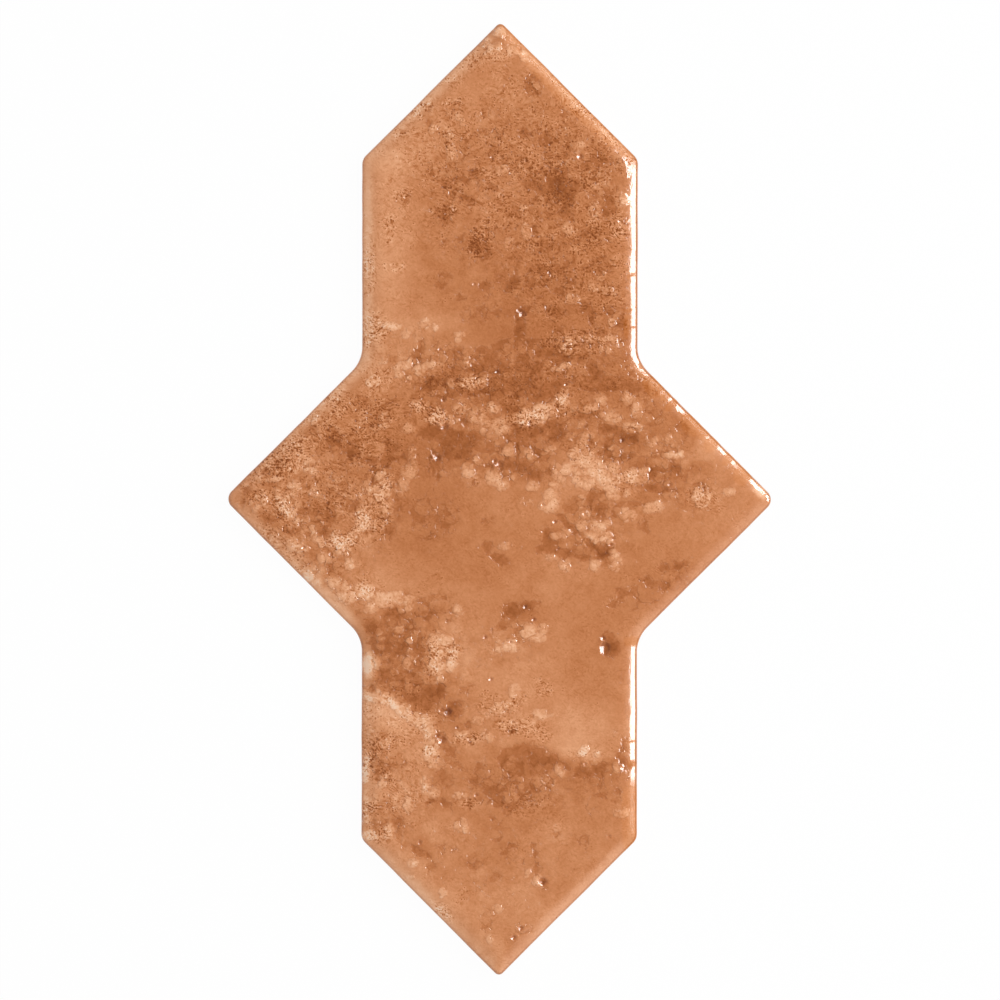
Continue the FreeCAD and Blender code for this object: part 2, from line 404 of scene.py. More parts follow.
# A row is x, y, half_length, half_width, and where they aren't 1 and 0, the strength and the turn
# Soft light and dark places. The comments name the part of the face, from the upper tip down.
TONE_MARKS = [Mark(*row) for row in (
    # Broad places all over the face
    (-28, 66, 9, 26, 0.4), (-26, 40, 9, 8, 0.4), (12, 48, 22, 16, -0.3), (5, 24, 34, 9, -0.2),
    (-22, 12, 24, 6, -0.25, -5), (-42, -18, 20, 7, 0.45, -45), (-2, -42, 16, 12, 0.5),
    (18, -54, 16, 12, 0.35), (-26, -64, 9, 20, 0.65), (0, -92, 26, 18, 0.45), (-20, -98, 18, 7, 0.6, -45),
    (0, 108, 12, 9, 0.35), (-20, 96, 16, 8, 0.4, 45), (42, -18, 14, 7, -0.2, 40), (56, 6, 8, 10, 0.3, 40),
    # Upper arm, left side and tip
    (-31, 70, 8, 24, 0.65), (-31, 44, 5, 6, 0.3), (-17, 104, 15, 4, 0.45, 45),
    # The pale strip along the upper right side of the tip, (17, 102), is partly a painted sheen on the
    # cushion
    (17, 102, 17, 3.5, 0.55, -45), (-18, 44, 9, 3, 0.3, 5), (-14, 71, 4, 2.4, -0.2, 20),
    (-5.5, 63, 5, 2.8, -0.5, -50), (-8, 76, 8, 5, -0.2, 30), (-18, 58, 10, 6, -0.05, 10),
    # Upper arm, right side
    (14, 62, 19, 28, -0.32), (15, 77.5, 3.5, 8, -0.45, 12), (9, 75, 3.5, 6, -0.3), (17, 88, 2, 4, -0.3),
    (11, 89, 2.5, 3.5, -0.3, 30), (26, 86, 4, 5, -0.3, 20), (27, 73, 3, 4, -0.3),
    (21, 65.5, 6, 1.8, -0.35, 28), (2.5, 54, 3, 4.5, -0.15, 20), (23, 47, 5, 3, -0.25),
    (23, 72, 2.5, 3, 0.3),
    # Band across the upper notches
    (6, 34, 30, 9, -0.15, -3), (-19, 36, 4, 5, -0.1), (5, 29, 12, 3.5, -0.05),
    (-12, 14.5, 11, 4.5, -0.25, -8), (9, 16, 8, 3, -0.15, 5), (33, 14, 6, 4.5, -0.35, -10),
    (40, 5, 7, 3, -0.4, 22), (46, 18, 3, 4, -0.3, 30), (22, 8, 8, 5.5, 0.35, -20), (33, 5, 3.5, 3.5, 0.2),
    (13, 1, 5, 5, 0.3), (31, 22, 6, 4, 0.3, -50), (43, 12, 4, 3, 0.2, 30), (-22, 31, 3, 2, 0.4),
    (-25, 13, 4, 3, -0.3),
    # Left wing
    (-40, 30, 13, 3.5, 0.7, 45), (-30, 31, 7, 5, 0.45, 20), (-40, 20, 9, 4, 0.15, 10),
    (-42, 14.5, 9, 2.4, -0.5, -30), (-57, 10, 4, 3, -0.25, 45), (-46, -1, 5, 4, -0.1),
    (-53, -7, 7, 2.4, -0.2, -10), (-49, 13, 5, 5, 0.15), (-54, -1, 2.4, 4.4, 0.3, 40),
    (-33, -6, 2.4, 3.4, 0.4, -20), (-33, 7, 5, 3, -0.3), (-45, 1, 2.4, 2, 0.5),
    (-29, -19, 12, 6, 0.1, -15), (-30, -25, 8, 2.4, 0.1, -4), (-43, -22, 11, 3, 0.15, -45),
    (-63, -4, 4, 2, 0.6, -45), (-44, -17, 5, 3, -0.3, -45),
    # Middle and right wing
    (-19, -3, 9, 11, -0.3), (-6, -16, 14, 5, -0.1), (13, -10, 3.2, 4.5, -0.4, 20), (24, -7, 3.6, 3.2, 0.3),
    (39, -2, 5, 2.6, 0.2), (41, -19, 8, 3.4, -0.35, 22), (30, -24, 3, 3, -0.2), (15, -17, 4, 3, 0.3, -30),
    (46, -13, 10, 6, 0.1, 45),
    # Lower arm, upper part
    (-27, -38, 9, 8, -0.3), (-33, -41, 3, 3.6, 0.4), (-14, -38, 4.5, 7, 0.2), (-28, -55, 9, 6, 0.4, -25),
    (-28, -60, 6, 2.6, -0.3, 15), (-29, -67, 4.5, 3.6, -0.4, -35), (-18, -63, 4, 9, 0.3, -10),
    (8, -33, 4.5, 2.6, 0.25), (-7, -29, 7, 5, 0.25), (20, -57, 15, 6, 0.35, -5), (-3, -55, 5, 7, 0.2, 20),
    (22, -44, 8, 9, -0.12),
    # Lower arm, lower part and tip
    (3, -80, 14, 14, -0.3), (0, -72, 4.5, 1.8, -0.3, 30), (-16, -75.5, 4, 1.6, -0.3),
    (-25, -82, 3, 3, -0.3), (-20, -88, 3.6, 1.8, -0.3, -40), (-16, -92, 4.4, 1.6, -0.35, -60),
    # The pale strip along the lower right side of the tip, (17, -102), is partly a painted sheen on the
    # cushion
    (10, -92, 1.4, 3.6, -0.25, 20), (17, -102, 17, 3, 0.5, 45), (-21, -98, 17, 4, 0.3, -45),
    (0, -111, 8, 6, 0.2), (-6, -105, 5, 3.4, -0.2),
    # Smooth pale places
    (18, -57, 4, 3, 0.35), (20, -61, 7, 2.6, 0.5), (-17, 44, 5, 2, 0.35, -5), (-9, -40, 3, 4, 0.4),
    (-11, -33, 3, 2, 0.4), (-28, -54, 7, 3, 0.5, -20), (-22, -72.5, 4, 3, 0.35), (-48, 11.6, 2.4, 4, 0.35),
    (-30, -20, 6, 3.4, 0.3, -10), (6, -58, 4, 3, 0.3), (-8, -61, 2, 3, 0.35), (-17, -82, 2, 3, 0.4),
    (-28, 84, 4, 3, 0.3), (29.5, 62, 2, 8, 0.3), (-22, 82, 8, 9, 0.25), (-13, 75, 3, 2, 0.3),
    (11, 64, 2.4, 2.4, 0.4), (8, 56, 6, 3, 0.3), (-16, 48, 4, 2.4, 0.35), (-27, 37, 3, 2, 0.3),
    (-2, 34, 4, 2, 0.35), (14, 37, 2, 2, 0.35), (29, 59, 3, 2, 0.2), (-27, 53, 5, 5, 0.2),
    (6.5, 21, 2, 2, 0.6), (2, 28.5, 6, 2, 0.4), (-12, 14, 3, 3, 0.3), (28, 18, 4, 1.6, 0.35),
    (4, -2, 8, 6, 0.15), (13, -23, 5, 4, 0.3), (-10, -24, 8, 3, 0.3), (-25.5, -50, 2.4, 1.4, 0.5, -20),
    (-7, -60, 5, 3, 0.45), (2, -60.5, 2.5, 1.5, 0.4), (26, -63, 2.5, 1.6, 0.4), (-9, -36, 3, 5, 0.3),
    (7, -39, 5, 3, 0.2),
    # Dark places between the pools
    (8, 103.5, 2.4, 3, -0.6), (-11.5, 96, 2.4, 2.4, -0.45), (-12, 86.5, 2, 2, -0.4),
    (23, 73, 2.5, 3, -0.5), (31.5, 41, 2.5, 6, -0.6), (18, 49.5, 2.5, 1.6, -0.4),
    (-20, 36, 2.5, 2.5, -0.5), (-7, 62, 5, 5, -0.15), (-19, 25.5, 5, 2.4, -0.5, -30), (1, 20, 3, 2, -0.4),
    (6, 12.5, 5, 2, -0.5), (13.5, 13.5, 3.5, 2, -0.5), (32, 26, 2.5, 2.5, -0.6), (21, 4, 2, 1.6, -0.5),
    (23.5, -2.5, 2.4, 2, -0.5), (15, -9, 2, 2.4, -0.5), (20, -6, 3, 1.6, -0.3, -45),
    (17, -15.5, 2, 2, -0.4), (27, -15.5, 2, 2, -0.4), (2, -16, 2, 2, -0.4), (29, 10, 2, 2, -0.4),
    (27, 3, 2, 2, -0.3), (36, 8, 2, 2, -0.4), (4.5, -28, 4, 3, -0.7), (-14, -50, 4, 2.4, -0.6, -30),
    (-28, -62, 2, 2, -0.4), (14.5, -66, 3, 1.6, -0.6), (-1, -68, 3, 2, -0.3), (31, -66, 3, 2, -0.6),
    (27.5, -36.5, 2.4, 3.4, -0.5), (-24, 12, 5, 2, -0.5), (-26, 6, 3, 3, -0.4), (-37, 8, 6, 5, -0.2),
    (-47, 7, 1.5, 2, -0.4), (-57, 2.5, 3, 1, -0.4), (-16, 23, 2.4, 2.4, -0.3), (-15, -8, 4, 22, -0.12),
    (50, 2, 2, 3, -0.5), (44, -22, 8, 2, -0.1, 45), (48, 8, 5, 2, -0.3), (30, 23.5, 3, 2, -0.4),
    (27, 7, 3, 2.5, -0.4), (36, 14, 2, 2, -0.3), (33, -8, 2, 2, -0.3), (27, -14, 1.5, 2, -0.4),
    (0, -80, 2, 3, -0.3), (1, -88, 4, 4, -0.3), (0, -95, 7, 2.4, -0.4), (15, -98, 4, 2, -0.3),
    (21, -86, 3, 3, -0.4), (29, -79, 3, 2, -0.3), (-27, -82, 4, 1.4, -0.3), (7, -83, 2, 2, -0.3),
    # Pale places round the left wing, on the right wing and in the lower tip, and a painted highlight at the
    # right wing's tip
    (-45, -17, 2, 2.4, 0.9), (-33, -11, 2.4, 3, 0.8), (-32, -1, 3, 3, 0.4), (-39, -6, 2, 2, 0.4),
    (-53, -0.5, 2, 2, 0.5), (-50, -10, 2.5, 1.5, 0.5), (-40, -28, 6, 2.4, 0.7, -45),
    (-57, -10, 6, 2, 0.5, -45), (-32, -26, 2, 1.5, 0.4), (-25, -22, 4, 2, 0.25), (-17, -33, 3, 2, 0.4),
    (-55, 8, 4, 3, 0.25), (-60, -1, 3, 2, 0.3), (-53, 14, 3, 2, 0.4, 45), (42, 10, 3, 3, 0.5),
    (52, 12, 3, 1.6, 0.5, -45), (30, 18, 3, 2, 0.2), (55, -6, 8, 5, 0.3, 45), (-32, -73, 3, 4, 0.9),
    (-20, -70, 3, 4, 0.4), (5, -74, 3, 3, 0.4), (-24, -88, 6, 3, 0.3, -45), (-8, -104, 8, 5, 0.35),
    (6, -103, 5, 5, 0.3), (-2, -112, 4, 4, 0.5), (15, -76, 4, 2, 0.25), (-10, -75, 3, 2, 0.3),
    # The first mark here, strength 2 at the right wing's tip, is a painted highlight
    (65.2, 2.2, 2, 1.4, 2, -45), (-28.5, -54, 4.5, 3, 0.4, -25), (-24, -57.5, 3, 3, 0.4, -30),
    (-10, -40, 3, 5, 0.2), (-32.5, -42, 1.8, 3, 0.8), (7, -31, 4, 4, -0.4), (-44, -23, 10, 2.4, 0.6, -45),
    (-46, -18, 2, 2, 0.5), (-31, -17, 4, 4, 0.35), (-32, 33, 3, 3, 0.5), (37, 7.6, 2, 1.6, -0.4),
    (50, 3, 2, 1.4, -0.5), (18, -63, 7, 1.8, 0.6, -15), (25, -64.3, 4, 1.4, 0.5), (22, -55, 8, 5, 0.15),
    # Strips along the sides: the pale ones partly a painted sheen on the cushion, the dark ones darker along
    # the lower right sides
    (50.5, -16.5, 20, 1.6, -0.4, 45), (28, 89.5, 7, 2.4, 0.6, -45), (-32.6, 58, 1.2, 24, 0.5),
    (15, -103, 15, 1.6, -0.35, 45), (-1, -116, 3, 2.4, 0.5), (-14, 103, 9, 1.6, 0.3, 45),
)]

# Dark pools and thin pale places. The strength is 1 for a plain one, 0.5 for one that hardly shows.
POOL_MARKS = [Mark(*row) for row in (
    # Upper arm, left
    (-11.8, 97.5, 2, 1.5, 0.7), (-18.7, 97, 1.6, 0.8, 0.8, 15), (-13.9, 91.3, 1.1, 0.8, 1, 45),
    (-17.5, 94.2, 0.7, 0.4, 0.6), (-6, 90.8, 2.2, 0.8, 0.7, 10), (-4, 91.8, 1, 0.8),
    (-1.3, 92.2, 1.3, 0.7, 0.6), (-3.6, 96.7, 0.9, 0.9, 0.6), (-1.7, 86.6, 1.5, 1.4, 0.9),
    (-12, 83, 3, 1.1, 0.8, 10), (-11, 88, 3.5, 1, 0.5), (-9, 86.5, 1.2, 3, 0.55),
    (-12, 79.5, 5, 1.6, 0.7, -5), (-6, 81.5, 1.3, 1, 1.4), (-6, 79, 0.8, 1.3), (-4.2, 77.8, 1.1, 1),
    (-1.7, 77.5, 0.9, 0.8, 0.8), (-8.5, 74.5, 1.8, 0.9), (-11, 75.5, 4, 2.2, 0.55, -10),
    (-3.5, 75, 0.9, 0.5, 0.9), (-15, 72.5, 2, 1, 0.9), (-12.5, 72, 2, 1.1), (-23.8, 75, 1.6, 0.9, 0.6, 35),
    (-17.5, 83, 1.2, 0.8, 0.6, -30), (-13.5, 70.3, 1.6, 1.4, 0.9), (-5.8, 63.3, 3.6, 1.8, 1.7, -55),
    (-10, 64.5, 1.3, 0.9, 1.4, 20), (-9, 62, 1.2, 0.8), (-4, 60.7, 1.6, 1, 1.4),
    (-13, 64.2, 2.6, 0.5, 0.7, 15), (-14.3, 54.5, 2, 1.6, 0.7, 50), (-3.5, 65, 1.6, 1, 0.8),
    (-1.5, 67, 2, 1.2, 0.6), (-9.5, 50.5, 1, 0.8, 0.6), (-7.5, 46, 3, 1.4, 0.6, 20), (-3, 48, 3, 3, 0.5),
    (-3, 54, 2, 1.4, 0.6),
    # Upper arm, right
    (8, 103.3, 2, 2.6, 0.8), (6.3, 91.3, 1.8, 1.8, 0.9), (11.5, 89.5, 1.8, 2.4, 0.9, 30),
    (13.5, 88, 1.5, 1.5, 0.7), (15.8, 93, 0.9, 0.7, 0.9), (16.5, 95.7, 0.8, 0.7, 0.6),
    (17, 88.5, 1, 2, 1.1), (16, 86, 2.5, 1.5, 0.7), (22.2, 89.2, 1.2, 1, 0.6), (3, 84.5, 3, 1.3, 0.6),
    (2.8, 81.7, 0.6, 0.9, 0.6), (24.5, 85.3, 2, 2, 0.9), (21.5, 83, 2, 1.6, 0.8), (23.5, 82, 1, 1.5, 0.9),
    (27.5, 84.8, 1.5, 0.8, 0.6), (12.5, 82, 3, 2, 1, -30), (14.5, 79, 3.4, 5, 1.6),
    (16.5, 75, 1.6, 4, 1.5), (16.5, 71.5, 1.6, 2, 1.4), (8, 79, 3, 2, 0.9), (9.8, 75, 1.3, 1.2, 1.2),
    (12, 76.5, 3, 3, 0.8), (6, 80.5, 1.6, 0.8, 0.7), (18.5, 78, 2, 1.5, 0.7, 30),
    (27.4, 77.4, 1.6, 0.9, 0.9), (23, 76, 2, 0.8, 0.8), (26.7, 74.2, 1.6, 1.1, 1.4, -30),
    (26, 72, 1.8, 2, 1.2), (28, 71.5, 1.2, 2, 0.8), (3, 54, 1.5, 2.6, 1.2, -20),
    (3.8, 50, 1.2, 1.6, 1.2, -30), (7, 47.5, 2.4, 0.9, 0.9, 10), (5, 42.5, 1.7, 2.8, 1.6),
    (14, 47, 2.8, 2.2, 1.3), (14.5, 42, 1.6, 1, 1.1, 20), (21.5, 48, 1.6, 1.6, 1.1, -40),
    (23, 45, 1, 3, 1.2, 20), (24, 42, 1.2, 1, 1.1), (27.5, 47, 1.6, 1.6, 1.2), (30.5, 44, 1.6, 2, 1.2),
    (16.5, 58.5, 1.2, 1.2, 1.1), (14.2, 61, 0.9, 0.7, 1.1, 40), (24, 59.5, 2.4, 0.6, 1, 20),
    (20, 65, 2.8, 0.7, 1.2, 35), (23.5, 66, 1.6, 0.8, 1.2, 40), (26, 64.5, 2, 0.6, 0.8),
    (11, 63.5, 2, 1.6, 0.7), (14, 65.5, 1.6, 0.8, 0.8, 20), (8.5, 67, 1, 1, 0.7), (3, 67.5, 2, 1, 0.6, 20),
    (7, 61.5, 1.4, 0.6, 0.7), (13, 55, 6, 4, 0.55), (26, 57.5, 2.5, 1.5, 0.7, 30),
    # Foot of the upper arm
    (-19.3, 38, 1.2, 2.4, 1.3, 15), (-21, 35, 2, 2, 0.8, 40), (-18.5, 35, 1.4, 1.6),
    (-16.5, 39, 0.9, 1.2, 0.6), (-16.8, 37, 1, 0.8, 0.6), (-11, 37, 1.6, 1.4, 1.2),
    (-12.5, 35, 1.6, 3, 0.9), (-12, 32, 2.6, 2.2, 1.5), (-4.2, 37, 1.8, 1.2, 1.4), (-7, 32, 2.4, 0.8, 1.4),
    (-1.5, 31.5, 1.2, 1.6, 1.4, -50), (-5, 35, 4, 2.5, 0.7), (11, 36.5, 2.8, 1.4, 1.2),
    (4, 33, 1.6, 2, 1.2), (2, 32, 2, 1.2, 1.3), (9, 32.5, 1.8, 2.4, 1.3), (14, 31, 3, 1.2, 1.3),
    (21, 35, 2, 1.5, 1.3, -35), (23, 33, 1.6, 2.4, 1.3), (24.5, 31, 1.6, 1.6, 1.2),
    (20, 38.5, 1, 1.6, 1.1), (23.5, 38.3, 1.4, 1, 0.9), (30.5, 38.5, 0.9, 1), (31.5, 33.3, 0.8, 0.9, 0.8),
    (34, 31, 3, 0.8, 0.9, -30), (8, 36, 14, 4, 0.55),
    # Band across the middle
    (-16, 28.5, 4, 2.4, 1.4), (-11, 26.3, 7, 1.4, 1.6), (0, 28, 6, 3, 1.7), (8, 28, 5.5, 3.6, 1.7),
    (-0.5, 24.5, 4, 1.6, 1.1), (2.5, 22.5, 2.4, 2.2, 1.5), (-17, 17, 3.4, 2.2, 1.7),
    (-10, 15, 7, 2.8, 1.7), (-12, 12, 5, 1.8, 1.4), (-15.5, 8, 1.7, 3.4, 0.8, 10), (-8.5, 19.5, 1.4, 2),
    (-4.5, 13.5, 4, 1.6, 1.1, -10), (6, 16.5, 6, 2, 1.4, 5), (4, 18.5, 2, 1, 1.3),
    (5, 8.4, 6, 2.2, 1.8, -12), (9, 6.2, 2.2, 1.8, 1.6), (0, 10, 3, 1.4, 1.2), (8, 12, 5, 3, 0.7),
    (-27, 13, 2, 2, 1.2), (-25, 10, 3, 1.2, 0.9), (-3, 8.5, 1, 1, 1.2), (12.2, -9.6, 1.8, 3, 1.4, 15),
    (12.6, -12.8, 3, 1.4, 1.2), (-3, -12, 1.6, 1.5, 1.2), (0, -14.5, 3, 1.4, 1.2, -40),
    (-27.4, -8, 1.6, 2.6, 1.4, -20), (-16, -4, 6, 6, 0.5), (-3, -5, 1.6, 0.9, 0.6),
    (14, 17.5, 3, 3.6, 1.7), (22.5, 14, 1, 2.4, 1.5, 20), (26.5, 17.4, 3.4, 1.2, 1.3),
    (31.5, 16, 4, 2, 1.5), (28, 12.5, 4, 3, 0.8), (31, 11, 1.3, 1.2, 1.4), (20, 21, 2.6, 0.8, 1.2),
    (25, 29, 10, 2, 1.1), (13.5, 28, 3, 3, 1.3), (23.6, 1, 2, 2.4, 1.6, -30), (25, -2.2, 2.6, 2.4, 1.6),
    (28.2, -4, 1, 1.2, 1.3), (17, -6, 3.6, 1.1, 1.6, -40), (22.5, -11, 4, 1.1, 1.6, -42),
    (26, -13, 2.6, 2, 1.6), (18, -13, 5, 2, 0.9), (39.5, 2.8, 4, 1.4, 1.4, -12),
    (39.5, 6.3, 2.4, 2.2, 1.1), (44, 7.6, 2, 1.2, 0.9), (51, 3, 1, 1.4, 0.6, 20), (45.6, 18, 1.6, 1.6),
    (46, 15.8, 0.9, 1.6, 0.9), (38, 22.5, 3.4, 1.8, 0.8, -50), (35, 27.5, 4, 2, 0.8),
    (38.5, 19, 2, 1, 0.8), (30.5, -1.4, 4.6, 0.9, 0.9), (35.5, -6.5, 1.4, 1.6, 0.5), (40, 12, 3, 2, 0.55),
    (13, 7, 1, 2, 0.7), (18, -1.5, 2.4, 2.2, 0.9),
    # Left wing
    (-42, 16.5, 2.8, 1.8, 1.4, -30), (-46.5, 16.8, 1.3, 1.2, 1.2), (-39, 13.5, 4, 1.6, 1.4, -25),
    (-37, 12, 2.6, 1.8, 1.3), (-37, 9.5, 1.2, 2, 1.3), (-33, 9.5, 3, 1, 0.9),
    (-28.3, 11, 1.4, 4, 1.2, -15), (-31.6, 4.6, 0.9, 1.8, 1.3, 10), (-34.5, 24, 2.4, 2, 0.9, -40),
    (-32.5, 19, 2.6, 3, 0.8, 20), (-29, 22.6, 2, 1, 0.9), (-42, 3, 4, 3.4, 0.6),
    (-55.4, 9.5, 1, 2.4, 1.4, -10), (-59, 7, 1.1, 0.7, 1.4), (-56.4, 3.4, 2.6, 0.7, 1.4, -10),
    (-63.4, 2.1, 1.8, 1, 1.4, -10), (-61.4, 1, 1.2, 1.2), (-64.5, -1, 1.3, 0.9, 1.4, 30),
    (-57.4, -4.5, 2.4, 1.1, 1.4, -10), (-56.4, -1.5, 0.7, 2.2, 1.1), (-54.4, -4, 0.9, 0.8, 1.3),
    (-57, -8.4, 1, 0.7, 1.3), (-44.5, -1.8, 3, 1.8, 1.4, -20), (-42.6, -5, 1.6, 2.6, 1.5),
    (-37, -2, 2, 2.4, 0.8), (-43.6, -8, 2.4, 1, 1.2), (-47.5, -8.5, 1.6, 0.9, 1.2),
    (-51.4, -7.4, 2.8, 0.8, 1.1, -5), (-43.4, -12.2, 2.2, 0.6, 1.5, -20),
    (-41.2, -13.6, 0.7, 1.2, 1.4, 20), (-32.2, -8, 1.1, 0.8, 1.2, 20), (-48, 5, 2, 0.8, 0.8, -20),
    (-47, -5, 5, 3, 0.7), (-46.5, -17, 1.6, 1, 0.9, -40), (-42, -16.5, 1.4, 1.4, 0.9),
    # Lower arm, down to its left shore
    (-27, -28.6, 3.6, 1.3, 1.6, 30), (-31.6, -32, 2.6, 2.6, 1.6), (-26.5, -34, 2.6, 1.8, 1.5),
    (-26, -39, 1.4, 2, 1.4), (-19.5, -38, 1, 2, 1.6), (-19.7, -42, 1.1, 2.2, 1.6), (-22, -44, 3, 1.3, 1.5),
    (-28.5, -45, 2, 1.6, 1.4), (-29, -47.4, 3.2, 1, 1.6, -5), (-25.5, -48.4, 5, 1.6, 1.8, -18),
    (-17, -47.8, 4.8, 2, 1.8), (-20.5, -46, 2, 2, 1.6), (-26, -37, 7, 9, 0.8),
    (-18, -28, 1.8, 1.2, 1.3, 20), (-12.3, -27.3, 1.2, 0.9, 0.9), (-15.3, -23.5, 0.6, 1.4, 0.8),
    (-12.5, -30.5, 1.2, 0.6, 0.8), (-35.8, -25.7, 1.6, 0.8, 1.3, 10), (-34.8, -28.5, 1.2, 0.8, 1.2),
    (-17, -27, 4.6, 3, 0.6, 20), (-19, -50.5, 4.8, 3.2, 1.8, -30), (-11, -51.5, 2.6, 1.6, 1.6),
    (-12, -54, 1.8, 1.6, 1.4), (-9.8, -53, 1.4, 1.6, 1.3), (-14, -59.5, 0.9, 1.2, 0.9),
    (-13.8, -60.8, 1.6, 1, 1.1), (-7.6, -56.5, 0.9, 1.4, 0.9, -15), (-7, -59.5, 0.6, 1, 0.7),
    (-12.5, -63.5, 1.6, 3.4, 0.55), (-8.2, -47.3, 1.8, 0.8, 0.8, 15), (-4.2, -42, 1, 1.6, 0.5),
    # The left shore itself, a thin dark line
    (-32, -47.4, 2.6, 0.65, 1.8, -8), (-23.9, -51.3, 2.4, 0.65, 1.8, -36),
    (-20.6, -53.9, 2, 0.65, 1.8, -36), (-18.6, -57.6, 1.2, 0.65, 1.4, -60),
    # Middle of the lower arm
    (2.6, -28.4, 2.2, 2.3, 1.5), (7, -26.3, 3, 1.1, 1.4, 8), (1, -31.4, 2.6, 1, 1.1, 20),
    (4.6, -32.4, 1.4, 1.6, 0.8), (4.8, -34.8, 1, 0.8), (27.4, -34.4, 2, 1.4, 1.7),
    (28.3, -36.9, 1.6, 2.8, 1.9), (37, -20.5, 1.6, 1.4, 1.2, 30), (32, -23, 3.4, 1.6, 0.8, 15),
    (28.5, -25.8, 1.4, 0.9, 0.8), (45, -16.4, 2.4, 0.9, 1.1, 10), (40.6, -17, 1.6, 0.9, 1, 10),
    (36, -24, 6, 3, 0.5, 25), (2.8, -52.8, 2.4, 0.6, 0.8, 45), (3.7, -57.6, 0.7, 0.9, 0.8),
    (29.3, -59, 0.8, 1.6, 0.5, 50),
    # Lower arm, below the shores
    (6.5, -65.5, 6.5, 4.4, 1.1), (9, -62, 1.6, 0.9, 1.5, -40), (12.3, -64.5, 2.6, 1.5, 1.8, -15),
    (12, -66.5, 2, 1.6, 1.5, 20), (16, -66.5, 2.5, 1, 1.2, -35), (20.5, -67.6, 2.4, 1.6, 1.7),
    (25, -66.8, 2.6, 1.3, 1.7, 25), (23, -68.5, 5, 1.4), (31, -65.5, 1.5, 2.6, 1.7, 30),
    (31.3, -61.7, 1, 1.8), (32, -67, 1.3, 1.4, 1.5), (-5.3, -75, 2.4, 1, 1, 20),
    (-6.8, -76.5, 0.8, 1, 0.8), (-6.5, -70.5, 1, 1.2, 0.8), (-5, -67, 1.2, 1.4, 0.7), (2.2, -77.5, 1.5, 2),
    (-1.5, -79.8, 1.6, 0.7, 0.8, -15), (26, -73.6, 1.4, 0.9), (24.7, -71.5, 0.6, 0.9, 0.7),
    (29.8, -72.8, 1, 0.8, 0.7, 20), (29, -75.1, 0.9, 0.6, 0.6), (9, -76.5, 1.2, 0.7, 0.8),
    (23.3, -78.3, 1, 0.9, 0.9, 20), (22, -77, 1.6, 0.8, 0.5), (14.2, -83.3, 0.8, 0.7, 0.6),
    (21.3, -85.5, 1.1, 1.8, 0.7), (3, -72, 10, 5, 0.6), (-31.7, -64.5, 1.1, 1, 1.5, -40),
    (-29.6, -66.6, 1.9, 1.3, 1.1), (-26.3, -62.5, 0.7, 1.4, 0.8, -15), (-30.4, -69.8, 0.8, 0.7, 0.9),
    (-25.8, -66.8, 2, 1.2, 0.7, 30), (-27.7, -69.5, 0.8, 0.8, 0.8), (-30, -61, 4, 3, 0.5),
    (-14.3, -68, 1.4, 1, 0.9), (-12, -66, 3.4, 1.2, 0.7, -15), (-14, -70, 3, 2, 0.55),
    (-16.8, -75.5, 1.5, 0.8, 1.5), (-13.3, -75.9, 1.5, 0.8, 1, -40), (-31, -81.7, 1.4, 1.4, 0.9),
    (-25.3, -81, 2.2, 1), (-25.2, -84, 1.2, 1.5), (-27, -77.5, 0.7, 0.9, 0.6),
    # Lower tip
    (-0.5, -84.8, 1.2, 0.8, 0.8), (3, -87, 2, 1, 0.7, 20), (1.4, -88.1, 1.2, 0.9, 1.2, 20),
    (8.7, -87.4, 0.9, 1.5, 0.7), (6, -90.4, 1, 0.8, 0.6), (9.3, -92, 0.8, 1.7, 1.1),
    (11, -96.2, 1.2, 0.9, 1.1, 30), (-20, -88.2, 2.2, 0.9, 1.1, -28), (-17.5, -89, 1, 0.7),
    (-17, -91.7, 1.3, 2, 0.8, 20), (-12.8, -87.3, 2.4, 1.1, 0.6, -15), (-23, -86, 1, 1, 0.7),
    (-6, -91.3, 1.1, 1.4, 0.5), (-1.2, -94.3, 1.4, 0.9, 0.6, 30), (-3.5, -106, 1.5, 2.6, 0.4),
    (5.5, -107, 2.2, 1.5, 0.4),
)]

